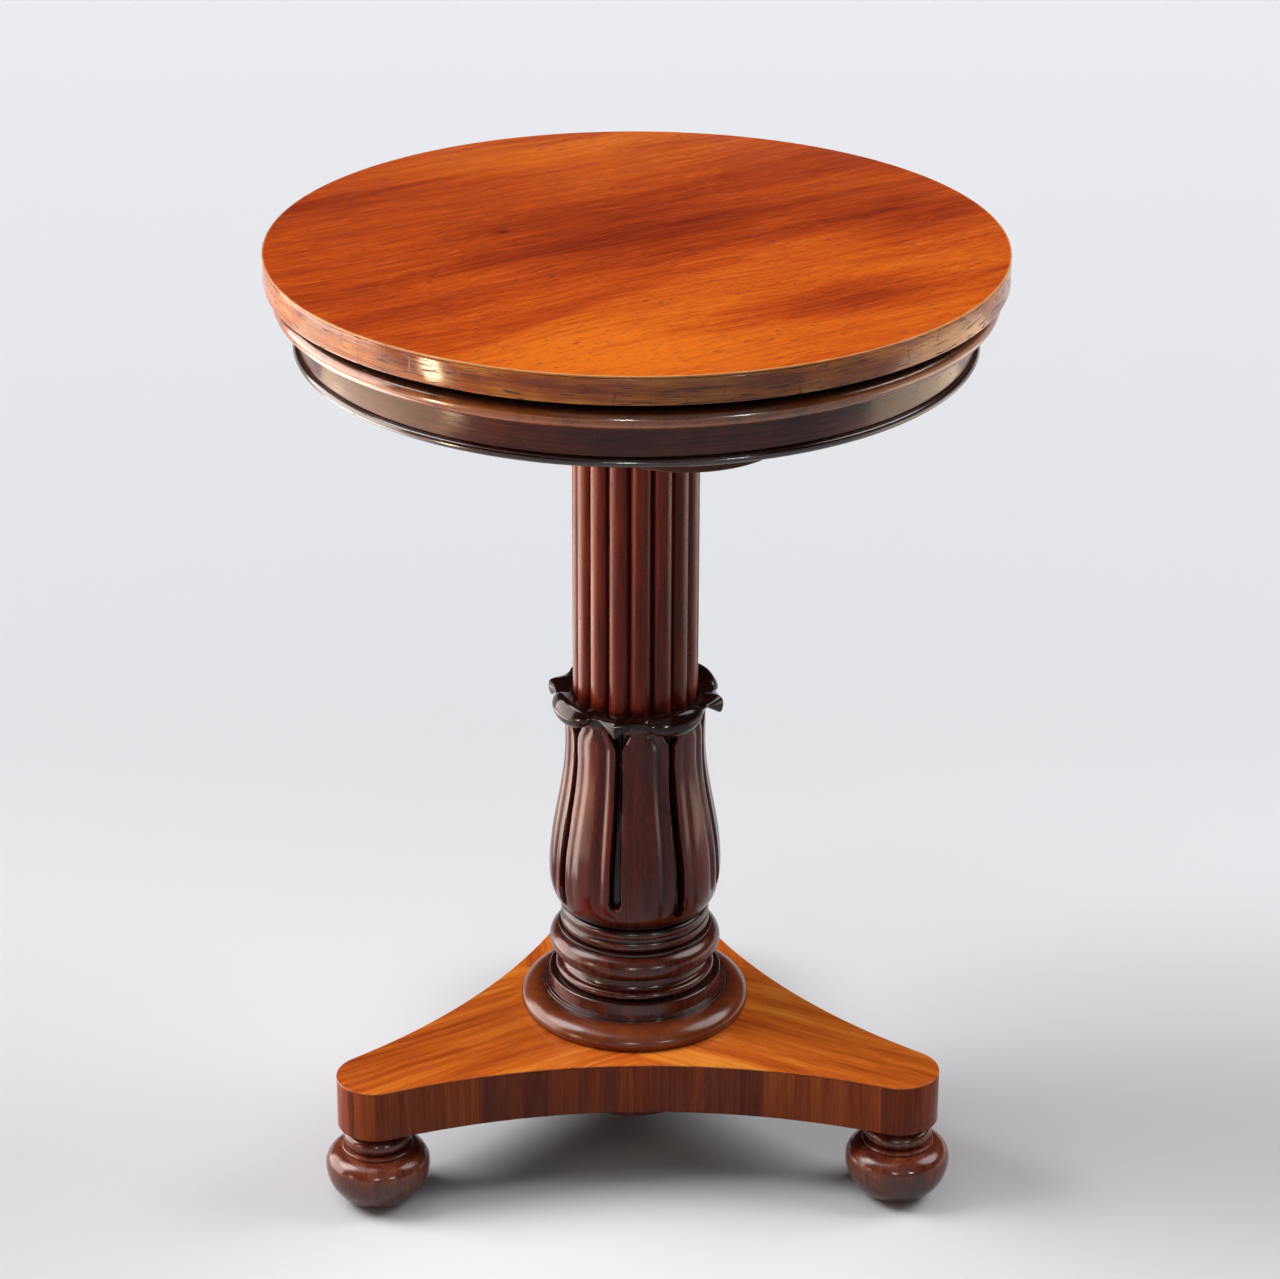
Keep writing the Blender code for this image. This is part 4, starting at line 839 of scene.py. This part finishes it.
def leafDepth(height, fromPleat, toSlot, hollowed):
    # how deep the carving goes at one level, for every column
    size = lotusSizes
    along = float(vaseRadius(height)) * toSlot * 2 * pi / size["leaves"]
    slotFoot = np.where(fromPleat < 0.5, size["slotFoot"], size["lobeSlotFoot"])
    up = np.clip((height - slotFoot) / (size["height"] - slotFoot), 0, 1)
    half = size["slotLow"] + (size["slotHigh"] - size["slotLow"]) * up
    half = half + size["flare"] * smoothStep(size["flareFrom"], size["flareTo"], height) ** 2
    centre = slotFoot + size["slotLow"]
    out = np.where(height > centre, along - half, np.hypot(along, height - centre) - size["slotLow"])
    wall = np.clip((out + size["slotWall"]) / size["slotWall"], 0, 1)
    slot = size["slotDepth"] * (1 - wall ** size["slotRound"])
    rib = size["midrib"] * np.exp(-(along / size["ribWide"]) ** 2)
    rib = rib * smoothStep(size["ribFrom"], size["ribTo"], height)
    fade = smoothStep(size["fadeTo"], size["fadeFrom"], height)
    slot = np.maximum(slot - rib, 0) * (size["shallow"] + (1 - size["shallow"]) * fade)
    low = smoothStep(size["leafFrom"], size["leafTo"], height)
    dish = np.exp(-((out - size["hollowAt"]) / size["hollowWide"]) ** 2)
    crown = 1 - np.sin(pi * np.clip(toSlot, 0, 0.5))
    return slot + size["hollow"] * hollowed * dish * low * fade + size["crown"] * crown * low


def lotusMesh():
    # a grid of columns round the vase: first down over the lip, then down the carved leaves
    size = lotusSizes
    steps = np.arange(size["columns"]) / size["columns"]
    share = steps - size["crowding"] * np.sin(2 * pi * steps)  # columns crowd towards the slots
    leaf = np.arange(size["leaves"])[:, None]
    angle = (size["slotAzimuth"] + 2 * pi * (leaf + share) / size["leaves"]).ravel()
    fromPleat = np.where(leaf % 2 == 0, share, 1 - share).ravel()
    toSlot = np.tile(np.minimum(share, 1 - share), size["leaves"])
    hollowed = np.tile(np.where(share > 0.5, 1.0, size["lesserHollow"]), size["leaves"])
    heights = np.linspace(size["height"] - size["lipFoot"] - size["lipGap"], 0, size["bodyRows"])
    rows = lipRows(fromPleat, heights[0])
    carved = [np.zeros_like(angle)] * len(rows)
    for height in heights:
        depth = leafDepth(height, fromPleat, toSlot, hollowed)
        carved.append(np.clip(depth / size["slotDepth"], 0, 1))
        rows.append((vaseRadius(height) - depth, np.full_like(angle, vaseFoot + height)))
    grid = np.array([
        np.stack((radius * np.cos(angle), radius * np.sin(angle), level), axis=1) for radius, level in rows
    ])
    index = np.arange(len(rows) * len(angle)).reshape(len(rows), len(angle))
    right = np.roll(index, -1, axis=1)
    faces = np.stack((index[:-1], index[1:], right[1:], right[:-1]), axis=-1).reshape(-1, 4)
    mesh = bpy.data.meshes.new("carving")
    mesh.from_pydata(grid.reshape(-1, 3).tolist(), [], faces.tolist())
    # the carving's depth, kept on the mesh for the painted shade in its bottom
    depths = mesh.attributes.new("carved", "FLOAT", "POINT")
    depths.data.foreach_set("value", np.ravel(carved).astype(np.float32))
    body = bmesh.new()
    body.from_mesh(mesh)
    bpy.data.meshes.remove(mesh)
    # the vase is closed under the reeds and at its foot
    bmesh.ops.holes_fill(body, edges=[e for e in body.edges if e.is_boundary], sides=0)
    return meshFrom(body, lotusWood, size["sharpAngle"])


addPiece("lotusVase", lotusMesh(), "pedestal", "red_mahogany", "lotus_vase")
print("lotus vase carved")

# Turned rings at the pillar's foot, from the cushion up
baseSizes = {
    "plinthRadius": 87.2 * mm, "plinthHeight": 17.3 * mm, "plinthNose": 4.6 * mm, "stepFillet": 4.2 * mm,
    "filletHeight": 1 * mm, "quirk": 1.6 * mm, "stepRadius": 65.5 * mm, "stepHeight": 11.5 * mm, "arris": 0.7 * mm,
    "lowRadius": 60.4 * mm, "lowHeight": 16 * mm, "lowLip": 7 * mm, "waist": 53.6 * mm,
    "torusRadius": 65 * mm, "torusHeight": 21 * mm, "neckFillet": 58.3 * mm, "neckFilletHeight": 2.2 * mm,
    "neckRadius": 56.8 * mm, "neckSwell": 4 * mm, "neckBead": 8.4 * mm, "beadSetback": 0.4 * mm, "seatInset": 1 * mm,
    "steps": 192,
}


def baseProfile():
    size = baseSizes
    step = platformTop + size["plinthHeight"]
    lowRing = step + size["stepHeight"]
    torus = lowRing + size["lowHeight"]
    fillet = torus + size["torusHeight"]
    neck = fillet + size["neckFilletHeight"]
    shoulder = size["stepRadius"] + size["stepFillet"]
    nose = platformTop + size["plinthNose"]
    fine, arris, swell, bead = size["filletHeight"], size["arris"], size["neckSwell"], size["neckBead"]
    bell = size["lowRadius"] - size["lowLip"] / 2
    # the neck is two soft beads, one above the other
    upper = (size["neckRadius"] - size["beadSetback"] - swell, vaseFoot - bead / 2)
    lower = (size["neckRadius"] - swell, (neck + vaseFoot - bead) / 2)
    return (
        [(0, vaseFoot), (upper[0] - size["seatInset"], vaseFoot)]
        + arcPoints(upper, (swell, bead / 2), 88, -48, 14)
        + arcPoints(lower, (swell, lower[1] - neck), 52, -86, 14)
        + [(size["neckFillet"], neck), (size["neckFillet"], fillet)]
        + halfRound(size["torusRadius"], torus, size["torusHeight"], 26)
        + arcPoints((bell, torus), (bell - size["waist"], size["lowHeight"] - size["lowLip"]), 180, 262, 10)
        + halfRound(size["lowRadius"], lowRing, size["lowLip"], 14)
        + [(size["stepRadius"] - arris, lowRing), (size["stepRadius"], lowRing - arris)]
        + [(size["stepRadius"], step + fine), (shoulder - size["quirk"], step + fine)]
        + [(shoulder - size["quirk"], step), (shoulder, step), (shoulder, step - fine)]
        + arcPoints((shoulder, nose), (size["plinthRadius"] - shoulder, step - fine - nose), 84, 0, 18)
        + arcPoints((size["plinthRadius"] - size["plinthNose"], nose), (size["plinthNose"],) * 2, -8, -88, 12)
        + [(0, platformTop)]
    )


addPiece(
    "columnBase", turnedMesh(baseProfile(), baseWood, baseSizes["steps"]),
    "pedestal", "dark_mahogany", "column_base",
)
print("turned base made")

# Platform, its veneers, feet and nut
platformSizes = {
    "waist": 104.4 * mm, "endRadius": 29.4 * mm, "footCircle": 225.9 * mm, "veneer": 1.5 * mm, "ease": 0.8 * mm,
    "veneerEase": 0.6 * mm, "edgeInset": 0.05 * mm, "coreShows": 0.1 * mm, "coreGap": 1 * mm,
    "endPoints": 40, "sidePoints": 60,
}
footAzimuths = {"front_left": radians(210), "front_right": radians(-30), "back": radians(90)}


def platformOutline(inset):
    # round ends over the feet, joined by hollow sides
    size = platformSizes
    shrink = size["endRadius"] - size["waist"]
    sideCentre = (size["footCircle"] ** 2 - shrink ** 2) / (size["footCircle"] + 2 * shrink)
    sideRadius = sideCentre - size["waist"]
    aside = atan2(sideCentre * sin(pi / 3), sideCentre * cos(pi / 3) - size["footCircle"])
    sweep = asin(size["footCircle"] * sin(pi / 3) / (sideRadius + size["endRadius"]))
    points = []
    for corner in sorted(footAzimuths.values()):
        side = corner + pi / 3
        endTurns = [corner + aside * (2 * i / size["endPoints"] - 1) for i in range(size["endPoints"] + 1)]
        sideTurns = [side + pi + sweep * (1 - 2 * i / size["sidePoints"]) for i in range(1, size["sidePoints"])]
        for away, bearing, reach, turns in (
            (size["footCircle"], corner, size["endRadius"] - inset, endTurns),
            (sideCentre, side, sideRadius + inset, sideTurns),
        ):
            x, y = away * cos(bearing), away * sin(bearing)
            points += [(x + reach * cos(turn), y + reach * sin(turn)) for turn in turns]
    return points


_, platformLow, _ = span("platform_core")
veneerJoint = platformTop - platformSizes["veneer"]
coreLow, coreHigh = platformLow - platformSizes["coreShows"], veneerJoint - platformSizes["coreGap"]
for name, inset, low, high, ease, material, slot, node in (
    ("platformTopVeneer", 0, veneerJoint, platformTop, platformSizes["veneerEase"], platformWood,
     "polished_mahogany", "platform_top_veneer"),
    ("platformEdgeVeneer", platformSizes["edgeInset"], platformLow, veneerJoint, platformSizes["ease"], crossWood,
     "polished_mahogany", "platform_edge_veneer"),
    ("platformCore", platformSizes["veneer"], coreLow, coreHigh, platformSizes["ease"], planedWood,
     "bare_mahogany", "platform_core"),
):
    slab = slabMesh(lambda more: platformOutline(inset + more), low, high, ease, material)
    addPiece(name, slab, "pedestal", slot, node)

footSizes = {
    "height": 64.5 * mm, "radius": 39 * mm, "belly": 31 * mm, "pad": 11 * mm, "ringRadius": 26.8 * mm,
    "ringTop": 47.2 * mm, "ringHeight": 2.8 * mm, "ringTuck": 1 * mm, "rollRadius": 25.5 * mm, "rollHeight": 13 * mm,
    "neck": 20 * mm, "steps": 96,
}


def footProfile():
    size = footSizes
    ringLow = size["ringTop"] - size["ringHeight"]
    tucked = size["ringRadius"] - size["ringTuck"]
    return (
        [(0, size["height"]), (size["neck"], size["height"])]
        + halfRound(size["rollRadius"], size["ringTop"], size["rollHeight"], 14)
        + halfRound(size["ringRadius"], ringLow, size["ringHeight"], 6)
        + arcPoints((tucked, size["belly"]), (size["radius"] - tucked, ringLow - size["belly"]), 88, 0, 14)
        + arcPoints((size["pad"], size["belly"]), (size["radius"] - size["pad"], size["belly"]), -4, -90, 20)
        + [(0, 0)]
    )


for place, azimuth in footAzimuths.items():
    foot = turnedMesh(footProfile(), turnedWood, footSizes["steps"])
    x, y = platformSizes["footCircle"] * cos(azimuth), platformSizes["footCircle"] * sin(azimuth)
    foot.transform(Matrix.Translation((x, y, 0)))
    addPiece(f"bunFoot_{place}", foot, "pedestal", "dark_mahogany", f"bun_foot_{place}")

nutSizes = {"round": 1.6 * mm, "steps": 128}
addPiece(
    "retainingNut",
    turnedMesh(roundedDisc(*span("retaining_nut"), nutSizes["round"], 16), turnedWood, nutSizes["steps"]),
    "pedestal", "dark_mahogany", "retaining_nut",
)
print("platform and feet made")

# The rising post with its guide groove and lock holes, and what is fixed to it
postSizes = {
    "radius": 20 * mm, "ease": 0.8 * mm, "groove": 3.6 * mm, "grooveDepth": 4.3 * mm, "hole": 4.6 * mm,
    "holeDepth": 10 * mm, "holeClear": 10 * mm, "travel": frame["joints"][0]["range_m"][1], "steps": 96,
}
_, postLow, postTop = span("rising_post")
lockLevel = sum(corner.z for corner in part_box("lock_pin")) / 2
backward, sideways = radians(90), 0


def cutMesh(mesh, cutter):
    # takes a cutter's shape out of a mesh, for good
    target = bpy.data.objects.new("target", mesh)
    tool = bpy.data.objects.new("tool", cutter)
    for thing in (target, tool):
        bpy.context.scene.collection.objects.link(thing)
    modifier = target.modifiers.new("cut", "BOOLEAN")
    modifier.object = tool
    modifier.solver = "EXACT"
    bpy.context.view_layer.update()
    result = bpy.data.meshes.new_from_object(target.evaluated_get(bpy.context.evaluated_depsgraph_get()))
    for thing in (target, tool):
        bpy.data.objects.remove(thing, do_unlink=True)
    return result


def laidAcross(azimuth, level):
    # lays an upright turning level, pointing away from the pillar's axis
    aim = Matrix.Rotation(azimuth - pi / 2, 4, "Z") @ Matrix.Rotation(-pi / 2, 4, "X")
    return Matrix.Translation((0, 0, level)) @ aim


def crossHole(near, far, azimuth, level):
    hole = turnedMesh(disc(postSizes["hole"], near, far), pillarWood, 32)
    hole.transform(laidAcross(azimuth, level))
    return hole


def postMesh():
    size = postSizes
    mesh = turnedMesh(disc(size["radius"], postLow, postTop), pillarWood, size["steps"], ease=size["ease"])
    groove = (2 * size["grooveDepth"], 2 * size["groove"], size["travel"] + 2 * size["groove"])
    middle = (size["radius"], 0, lockLevel - size["travel"] / 2)
    body = bmesh.new()
    bmesh.ops.create_cube(body, size=1.0, matrix=Matrix.Translation(middle) @ Matrix.Diagonal((*groove, 1)))
    mesh = cutMesh(mesh, meshFrom(body, pillarWood))
    near, far = size["radius"] - size["holeDepth"], size["radius"] + size["holeClear"]
    for level in (lockLevel, lockLevel - size["travel"]):
        mesh = cutMesh(mesh, crossHole(near, far, backward, level))
    return finishMesh(mesh, pillarWood)


addPiece("risingPost", postMesh(), "post", "red_mahogany", "rising_post")
# the bush is bored across for the lock pin behind and the guide screw at the side
flangeRadius, bushLow, bushTop = span("guide_bush")
flangeLow = bushTop - bushSizes["flange"]
bushProfile = [(flangeRadius, bushTop), (flangeRadius, flangeLow), (bushRadius, flangeLow), (bushRadius, bushLow)]
bush = boredRing(bushProfile, bushSizes["bore"], brass, postSizes["steps"])
for azimuth in (backward, sideways):
    bush = cutMesh(bush, crossHole(bushSizes["holeFrom"], bushSizes["holeTo"], azimuth, lockLevel))
addPiece("guideBush", finishMesh(bush, brass), "pedestal", "brass", "guide_bush")
pivotSizes = {"washerBore": 8.3 * mm, "washerEase": 0.3 * mm, "blockRound": 5 * mm, "blockSteps": 128}
_, washerLow, washerTop = span("pivot_washer")
washerProfile = [(postSizes["radius"], washerTop), (postSizes["radius"], washerLow)]
addPiece(
    "pivotWasher",
    boredRing(washerProfile, pivotSizes["washerBore"], brass, postSizes["steps"], pivotSizes["washerEase"]),
    "post", "brass", "pivot_washer",
)
blockRadius, blockLow, _ = span("pivot_block")
blockProfile = roundedDisc(blockRadius, blockLow, topUnder, pivotSizes["blockRound"], 10)
addPiece(
    "pivotBlock", turnedMesh(blockProfile, planedWood, pivotSizes["blockSteps"]),
    "top", "bare_mahogany", "pivot_block",
)
print("post and pivot made")

# Lock: turned brass and steel along a level axis that points back
lockSizes = {
    "pin": 4 * mm, "pinEase": 0.8 * mm, "bore": 4.3 * mm, "tube": 6 * mm, "plate": 1.7 * mm, "socketEase": 0.5 * mm,
    "ball": 6.3 * mm, "neck": 6.8 * mm, "neckRise": 2.4 * mm, "collar": 7.6 * mm, "collarRise": 1.6 * mm,
}
(_, knobLow, _), (knobRadius, knobHigh, _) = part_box("lock_knob")
(_, pinLow, _), (_, pinHigh, _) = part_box("lock_pin")
(_, socketLow, _), (socketRadius, socketHigh, _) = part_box("lock_socket")
knobProfile = (
    arcPoints((0, knobHigh - lockSizes["ball"]), (knobRadius, lockSizes["ball"]), 90, -44, 18)
    + [(lockSizes["neck"], knobLow + lockSizes["neckRise"])]
    + [(lockSizes["collar"], knobLow + lockSizes["collarRise"]), (lockSizes["collar"], knobLow), (0, knobLow)]
)
pinProfile = disc(lockSizes["pin"], pinLow, pinHigh)
plateLow = socketHigh - lockSizes["plate"]
socketProfile = [
    (socketRadius, socketHigh), (socketRadius, plateLow), (lockSizes["tube"], plateLow), (lockSizes["tube"], socketLow),
]
for name, mesh, body, slot, node in (
    ("lockKnob", turnedMesh(knobProfile, brass, 64), "lock", "brass", "lock_knob"),
    ("lockPin", turnedMesh(pinProfile, steel, 48, ease=lockSizes["pinEase"]), "lock", "steel", "lock_pin"),
    ("lockSocket", boredRing(socketProfile, lockSizes["bore"], brass, 64, lockSizes["socketEase"]),
     "pedestal", "brass", "lock_socket"),
):
    mesh.transform(laidAcross(backward, lockLevel))
    addPiece(name, mesh, body, slot, node)
print("lock made")

# Countersunk screws with slotted heads
screwSizes = {
    "head": 4.2 * mm, "headHeight": 2.8 * mm, "shank": 2 * mm, "slot": 0.9 * mm, "slotDepth": 1 * mm,
    "underSlot": 1 * mm, "seed": 3,
}


def screwTree(material):
    tree, value = startTree("slotted_screws", {
        "Places": "NodeSocketObject", "Head Radius": "NodeSocketFloat", "Head Height": "NodeSocketFloat",
        "Shank Radius": "NodeSocketFloat", "Length": "NodeSocketFloat", "Slot Width": "NodeSocketFloat",
        "Slot Depth": "NodeSocketFloat", "Under Slot": "NodeSocketFloat", "Tilt": "NodeSocketFloat",
        "Seed": "NodeSocketInt",
    })
    head = addNode(tree, "GeometryNodeMeshCone", {
        "Vertices": 40, "Radius Top": value["Shank Radius"], "Radius Bottom": value["Head Radius"],
        "Depth": value["Head Height"],
    })
    # the blade that cuts the slot is longer than the head is wide
    long = addNode(tree, "ShaderNodeMath", {0: value["Head Radius"], 1: 3.0}, operation="MULTIPLY")
    deep = addNode(tree, "ShaderNodeMath", {0: value["Slot Depth"], 1: 2.0}, operation="MULTIPLY")
    blade = addNode(tree, "ShaderNodeCombineXYZ", {"X": long, "Y": value["Slot Width"], "Z": deep})
    slot = addNode(tree, "GeometryNodeMeshCube", {"Size": blade})
    cut = addNode(tree, "GeometryNodeMeshBoolean", {"Mesh 1": head, "Mesh 2": slot}, operation="DIFFERENCE")
    # the shank starts below the slot
    shank = addNode(tree, "GeometryNodeMeshCylinder", {
        "Vertices": 16, "Radius": value["Shank Radius"], "Depth": value["Length"],
    })
    below = addNode(tree, "ShaderNodeMath", {0: value["Slot Depth"], 1: value["Under Slot"]}, operation="ADD")
    lift = addNode(tree, "ShaderNodeMath", {0: value["Length"], 1: 0.5, 2: below}, operation="MULTIPLY_ADD")
    up = addNode(tree, "ShaderNodeCombineXYZ", {"Z": lift})
    raised = addNode(tree, "GeometryNodeTransform", {"Geometry": shank, "Translation": up})
    screw = addNode(tree, "GeometryNodeJoinGeometry", {"Geometry": raised})
    setInputs(tree, screw, {"Geometry": cut})
    # every slot stops at its own angle
    places = addNode(tree, "GeometryNodeObjectInfo", {"Object": value["Places"]}).outputs["Geometry"]
    spin = addNode(
        tree, "FunctionNodeRandomValue", {"Min": 0.0, "Max": pi, "Seed": value["Seed"]}, data_type="FLOAT"
    )
    facing = addNode(tree, "ShaderNodeCombineXYZ", {"X": value["Tilt"], "Z": spin})
    driven = addNode(tree, "GeometryNodeInstanceOnPoints", {"Points": places, "Instance": screw, "Rotation": facing})
    return endTree(tree, driven, material)


screws = screwTree(steel)
for group, body, length, facesUp in (
    ("bearer_screw", "pedestal", 31 * mm, False),
    ("block_screw", "top", 27 * mm, False),
    ("bush_screw", "pedestal", 12 * mm, True),
):
    members = [f"{group}_{i}" for i in range(1, 5)]
    spots = []
    for member in members:
        low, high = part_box(member)
        spots.append(((low.x + high.x) / 2, (low.y + high.y) / 2, high.z if facesUp else low.z))
    points = bpy.data.meshes.new("places")
    points.from_pydata(spots, [], [])
    places = bpy.data.objects.new("places", points)
    bpy.context.scene.collection.objects.link(places)
    mesh = nodesMesh(screws, {
        "Places": places, "Head Radius": screwSizes["head"], "Head Height": screwSizes["headHeight"],
        "Shank Radius": screwSizes["shank"], "Length": length - screwSizes["headHeight"],
        "Slot Width": screwSizes["slot"], "Slot Depth": screwSizes["slotDepth"],
        "Under Slot": screwSizes["underSlot"], "Tilt": pi if facesUp else 0.0, "Seed": screwSizes["seed"],
    })
    bpy.data.objects.remove(places, do_unlink=True)
    addPiece(f"{group}s", finishMesh(mesh, steel), body, "steel", *members)
print("screws made")

# CAD nodes that keep their own shape, deep inside the pillar or let into it
for node, material in (
    ("pivot_bolt", steel), ("post_ferrule", brass), ("post_buffer", leather), ("guide_screw", brass),
):
    nodes[node].data.materials.clear()
    nodes[node].data.materials.append(material)

# Camera where the photographer stood, for a frame of 1280 by 1279
cameraSizes = {
    "lens": 112.5, "sensor": 36, "away": 2.694, "above": 0.923, "azimuth": 0.0257, "pitch": 0.42878,
    "yaw": 0.0012, "roll": 0.0034, "clip": 100,
}


def addCamera():
    size = cameraSizes
    data = bpy.data.cameras.new("camera")
    data.lens = size["lens"]
    data.sensor_width = size["sensor"]
    data.clip_end = size["clip"]
    camera = bpy.data.objects.new("camera", data)
    bpy.context.scene.collection.objects.link(camera)
    heading = -pi / 2 - size["azimuth"]
    place = Vector((size["away"] * cos(heading), size["away"] * sin(heading), topLevel + size["above"]))
    camera.matrix_world = (
        Matrix.Translation(place)
        @ Matrix.Rotation(-size["azimuth"] - size["yaw"], 4, "Z")
        @ Matrix.Rotation(pi / 2 - size["pitch"], 4, "X")
        @ Matrix.Rotation(size["roll"], 4, "Z")
    )
    bpy.context.scene.camera = camera


addCamera()

# Studio: window light from both sides, and reflectors on the floor and beside the table
warm, rosy, plain = "#FFDCAE", "#FFEEE4", "#FFFFFF"
sunAim = (0, 0, 0.6)
suns = {  # place, strength, spread in degrees
    "windowLeft": ((-2.17, 0.25, 2.94), 2.0, 30),
    "windowRight": ((1.7, 0.4, 2.35), 1.5, 36),
    "skylight": ((-1.0, -0.15, 3.6), 0.8, 40),
    "front": ((0.3, -2.4, 2.8), 0.22, 60),
}
reflectors = {  # place, aim, size in metres, watts, spread in degrees, tint
    "stripLeft": ((-1.15, -0.68, 0.31), (0, 0, 0.6), (0.12, 0.27), 0.7, 60, warm),
    "cardLeft": ((-1.7, 0.2, 0.015), (-1.69, 0.2, 1), (1.6, 1.6), 25, 180, warm),
    "cardRight": ((1.7, 0.4, 0.015), (1.69, 0.4, 1), (1.4, 1.4), 15, 180, warm),
    "cardNear": ((-0.95, 0.35, 0.015), (-0.94, 0.35, 1), (0.8, 0.8), 11, 180, rosy),
    "panelLeft": ((-2.3, 0.6, 0.95), (0, 0, 0.9), (2.2, 1.8), 84, 180, rosy),
    "sparkFront": ((-0.25, -3.0, 1.15), (0, 0, 0.4), (0.14, 0.14), 4, 120, plain),
    "sparkRight": ((1.5, -2.7, 1.15), (0, 0, 0.4), (0.2, 0.12), 4, 120, plain),
}
# these are only mirrored in the polish, so the shadow under the platform stays dark
onlyMirrored = ("panelLeft", "sparkFront", "sparkRight")


def addLight(name, kind, place, aim):
    data = bpy.data.lights.new(name, kind)
    light = bpy.data.objects.new(name, data)
    bpy.context.scene.collection.objects.link(light)
    light.location = place
    light.rotation_euler = (Vector(aim) - Vector(place)).to_track_quat("-Z", "Y").to_euler()
    light.visible_camera = False
    light.visible_diffuse = name not in onlyMirrored
    return data


for name, (place, strength, spread) in suns.items():
    sun = addLight(name, "SUN", place, sunAim)
    sun.energy = strength
    sun.angle = radians(spread)
for name, (place, aim, size, watts, spread, tint) in reflectors.items():
    card = addLight(name, "AREA", place, aim)
    card.shape = "RECTANGLE"
    card.size, card.size_y = size
    card.energy = watts
    card.color = linear(tint)[:3]
    card.spread = radians(spread)


def asShown(tree, shown, fill):
    # the shown colour for rays that meet it straight, mirrored or through glass, and a dim fill for the rest
    path = addNode(tree, "ShaderNodeLightPath").outputs
    seen = addNode(tree, "ShaderNodeMath", {0: path["Is Camera Ray"], 1: path["Is Glossy Ray"]}, operation="MAXIMUM")
    seen = addNode(tree, "ShaderNodeMath", {0: seen, 1: path["Is Transmission Ray"]}, operation="MAXIMUM")
    return addNode(tree, "ShaderNodeMix", {"Factor": seen, "A": linear(fill), "B": shown}, data_type="RGBA")


# the room: pale at the horizon, dark walls, a greyer ceiling
room = {"sky": {0.05: "#E6E7EB", 0.12: "#1C1D20", 0.7: "#1C1D20", 1.0: "#4A4C50"}, "fill": "#26282B"}
world = bpy.data.worlds.new("studio")
bpy.context.scene.world = world
world.use_nodes = True
worldTree = world.node_tree
direction = addNode(worldTree, "ShaderNodeTexCoord").outputs["Generated"]
upward = addNode(worldTree, "ShaderNodeSeparateXYZ", {0: direction}).outputs["Z"]
sky = addNode(worldTree, "ShaderNodeValToRGB", {"Fac": upward}, room["sky"])
setInputs(worldTree, worldTree.nodes["Background"], {"Color": asShown(worldTree, sky, room["fill"])})

# pale paper, a little greyer in front of the table
floorSizes = {
    "half": 40, "from": -4.0, "to": 3.0, "fill": "#484A4D", "dull": 0.6, "shine": 0.2,
    "papers": {
        0.0: "#E5E6EA", 0.2: "#BCBDC0", 0.443: "#BCBDC0", 0.536: "#EBECEF", 0.669: "#DADBDE", 1.0: "#E5E6EA",
    },
}
half = floorSizes["half"]
floorMesh = bpy.data.meshes.new("floor")
floorMesh.from_pydata([(-half, -half, 0), (half, -half, 0), (half, half, 0), (-half, half, 0)], [], [(0, 1, 2, 3)])
floorPaint, floorTree, floorShader, floorCoords = newMaterial("painted_floor")
place = addNode(floorTree, "ShaderNodeSeparateXYZ", {0: floorCoords}).outputs["Y"]
along = addNode(floorTree, "ShaderNodeMapRange", {
    "Value": place, "From Min": floorSizes["from"], "From Max": floorSizes["to"],
})
paper = addNode(floorTree, "ShaderNodeValToRGB", {"Fac": along}, floorSizes["papers"])
setInputs(floorTree, floorShader, {
    "Base Color": asShown(floorTree, paper, floorSizes["fill"]),
    "Roughness": floorSizes["dull"], "Specular IOR Level": floorSizes["shine"],
})
floorMesh.materials.append(floorPaint)
floor = bpy.data.objects.new("floor", floorMesh)
bpy.context.scene.collection.objects.link(floor)

bpy.context.scene.view_settings.view_transform = "Standard"
print("camera, lights and floor made")

bpy.context.view_layer.update()
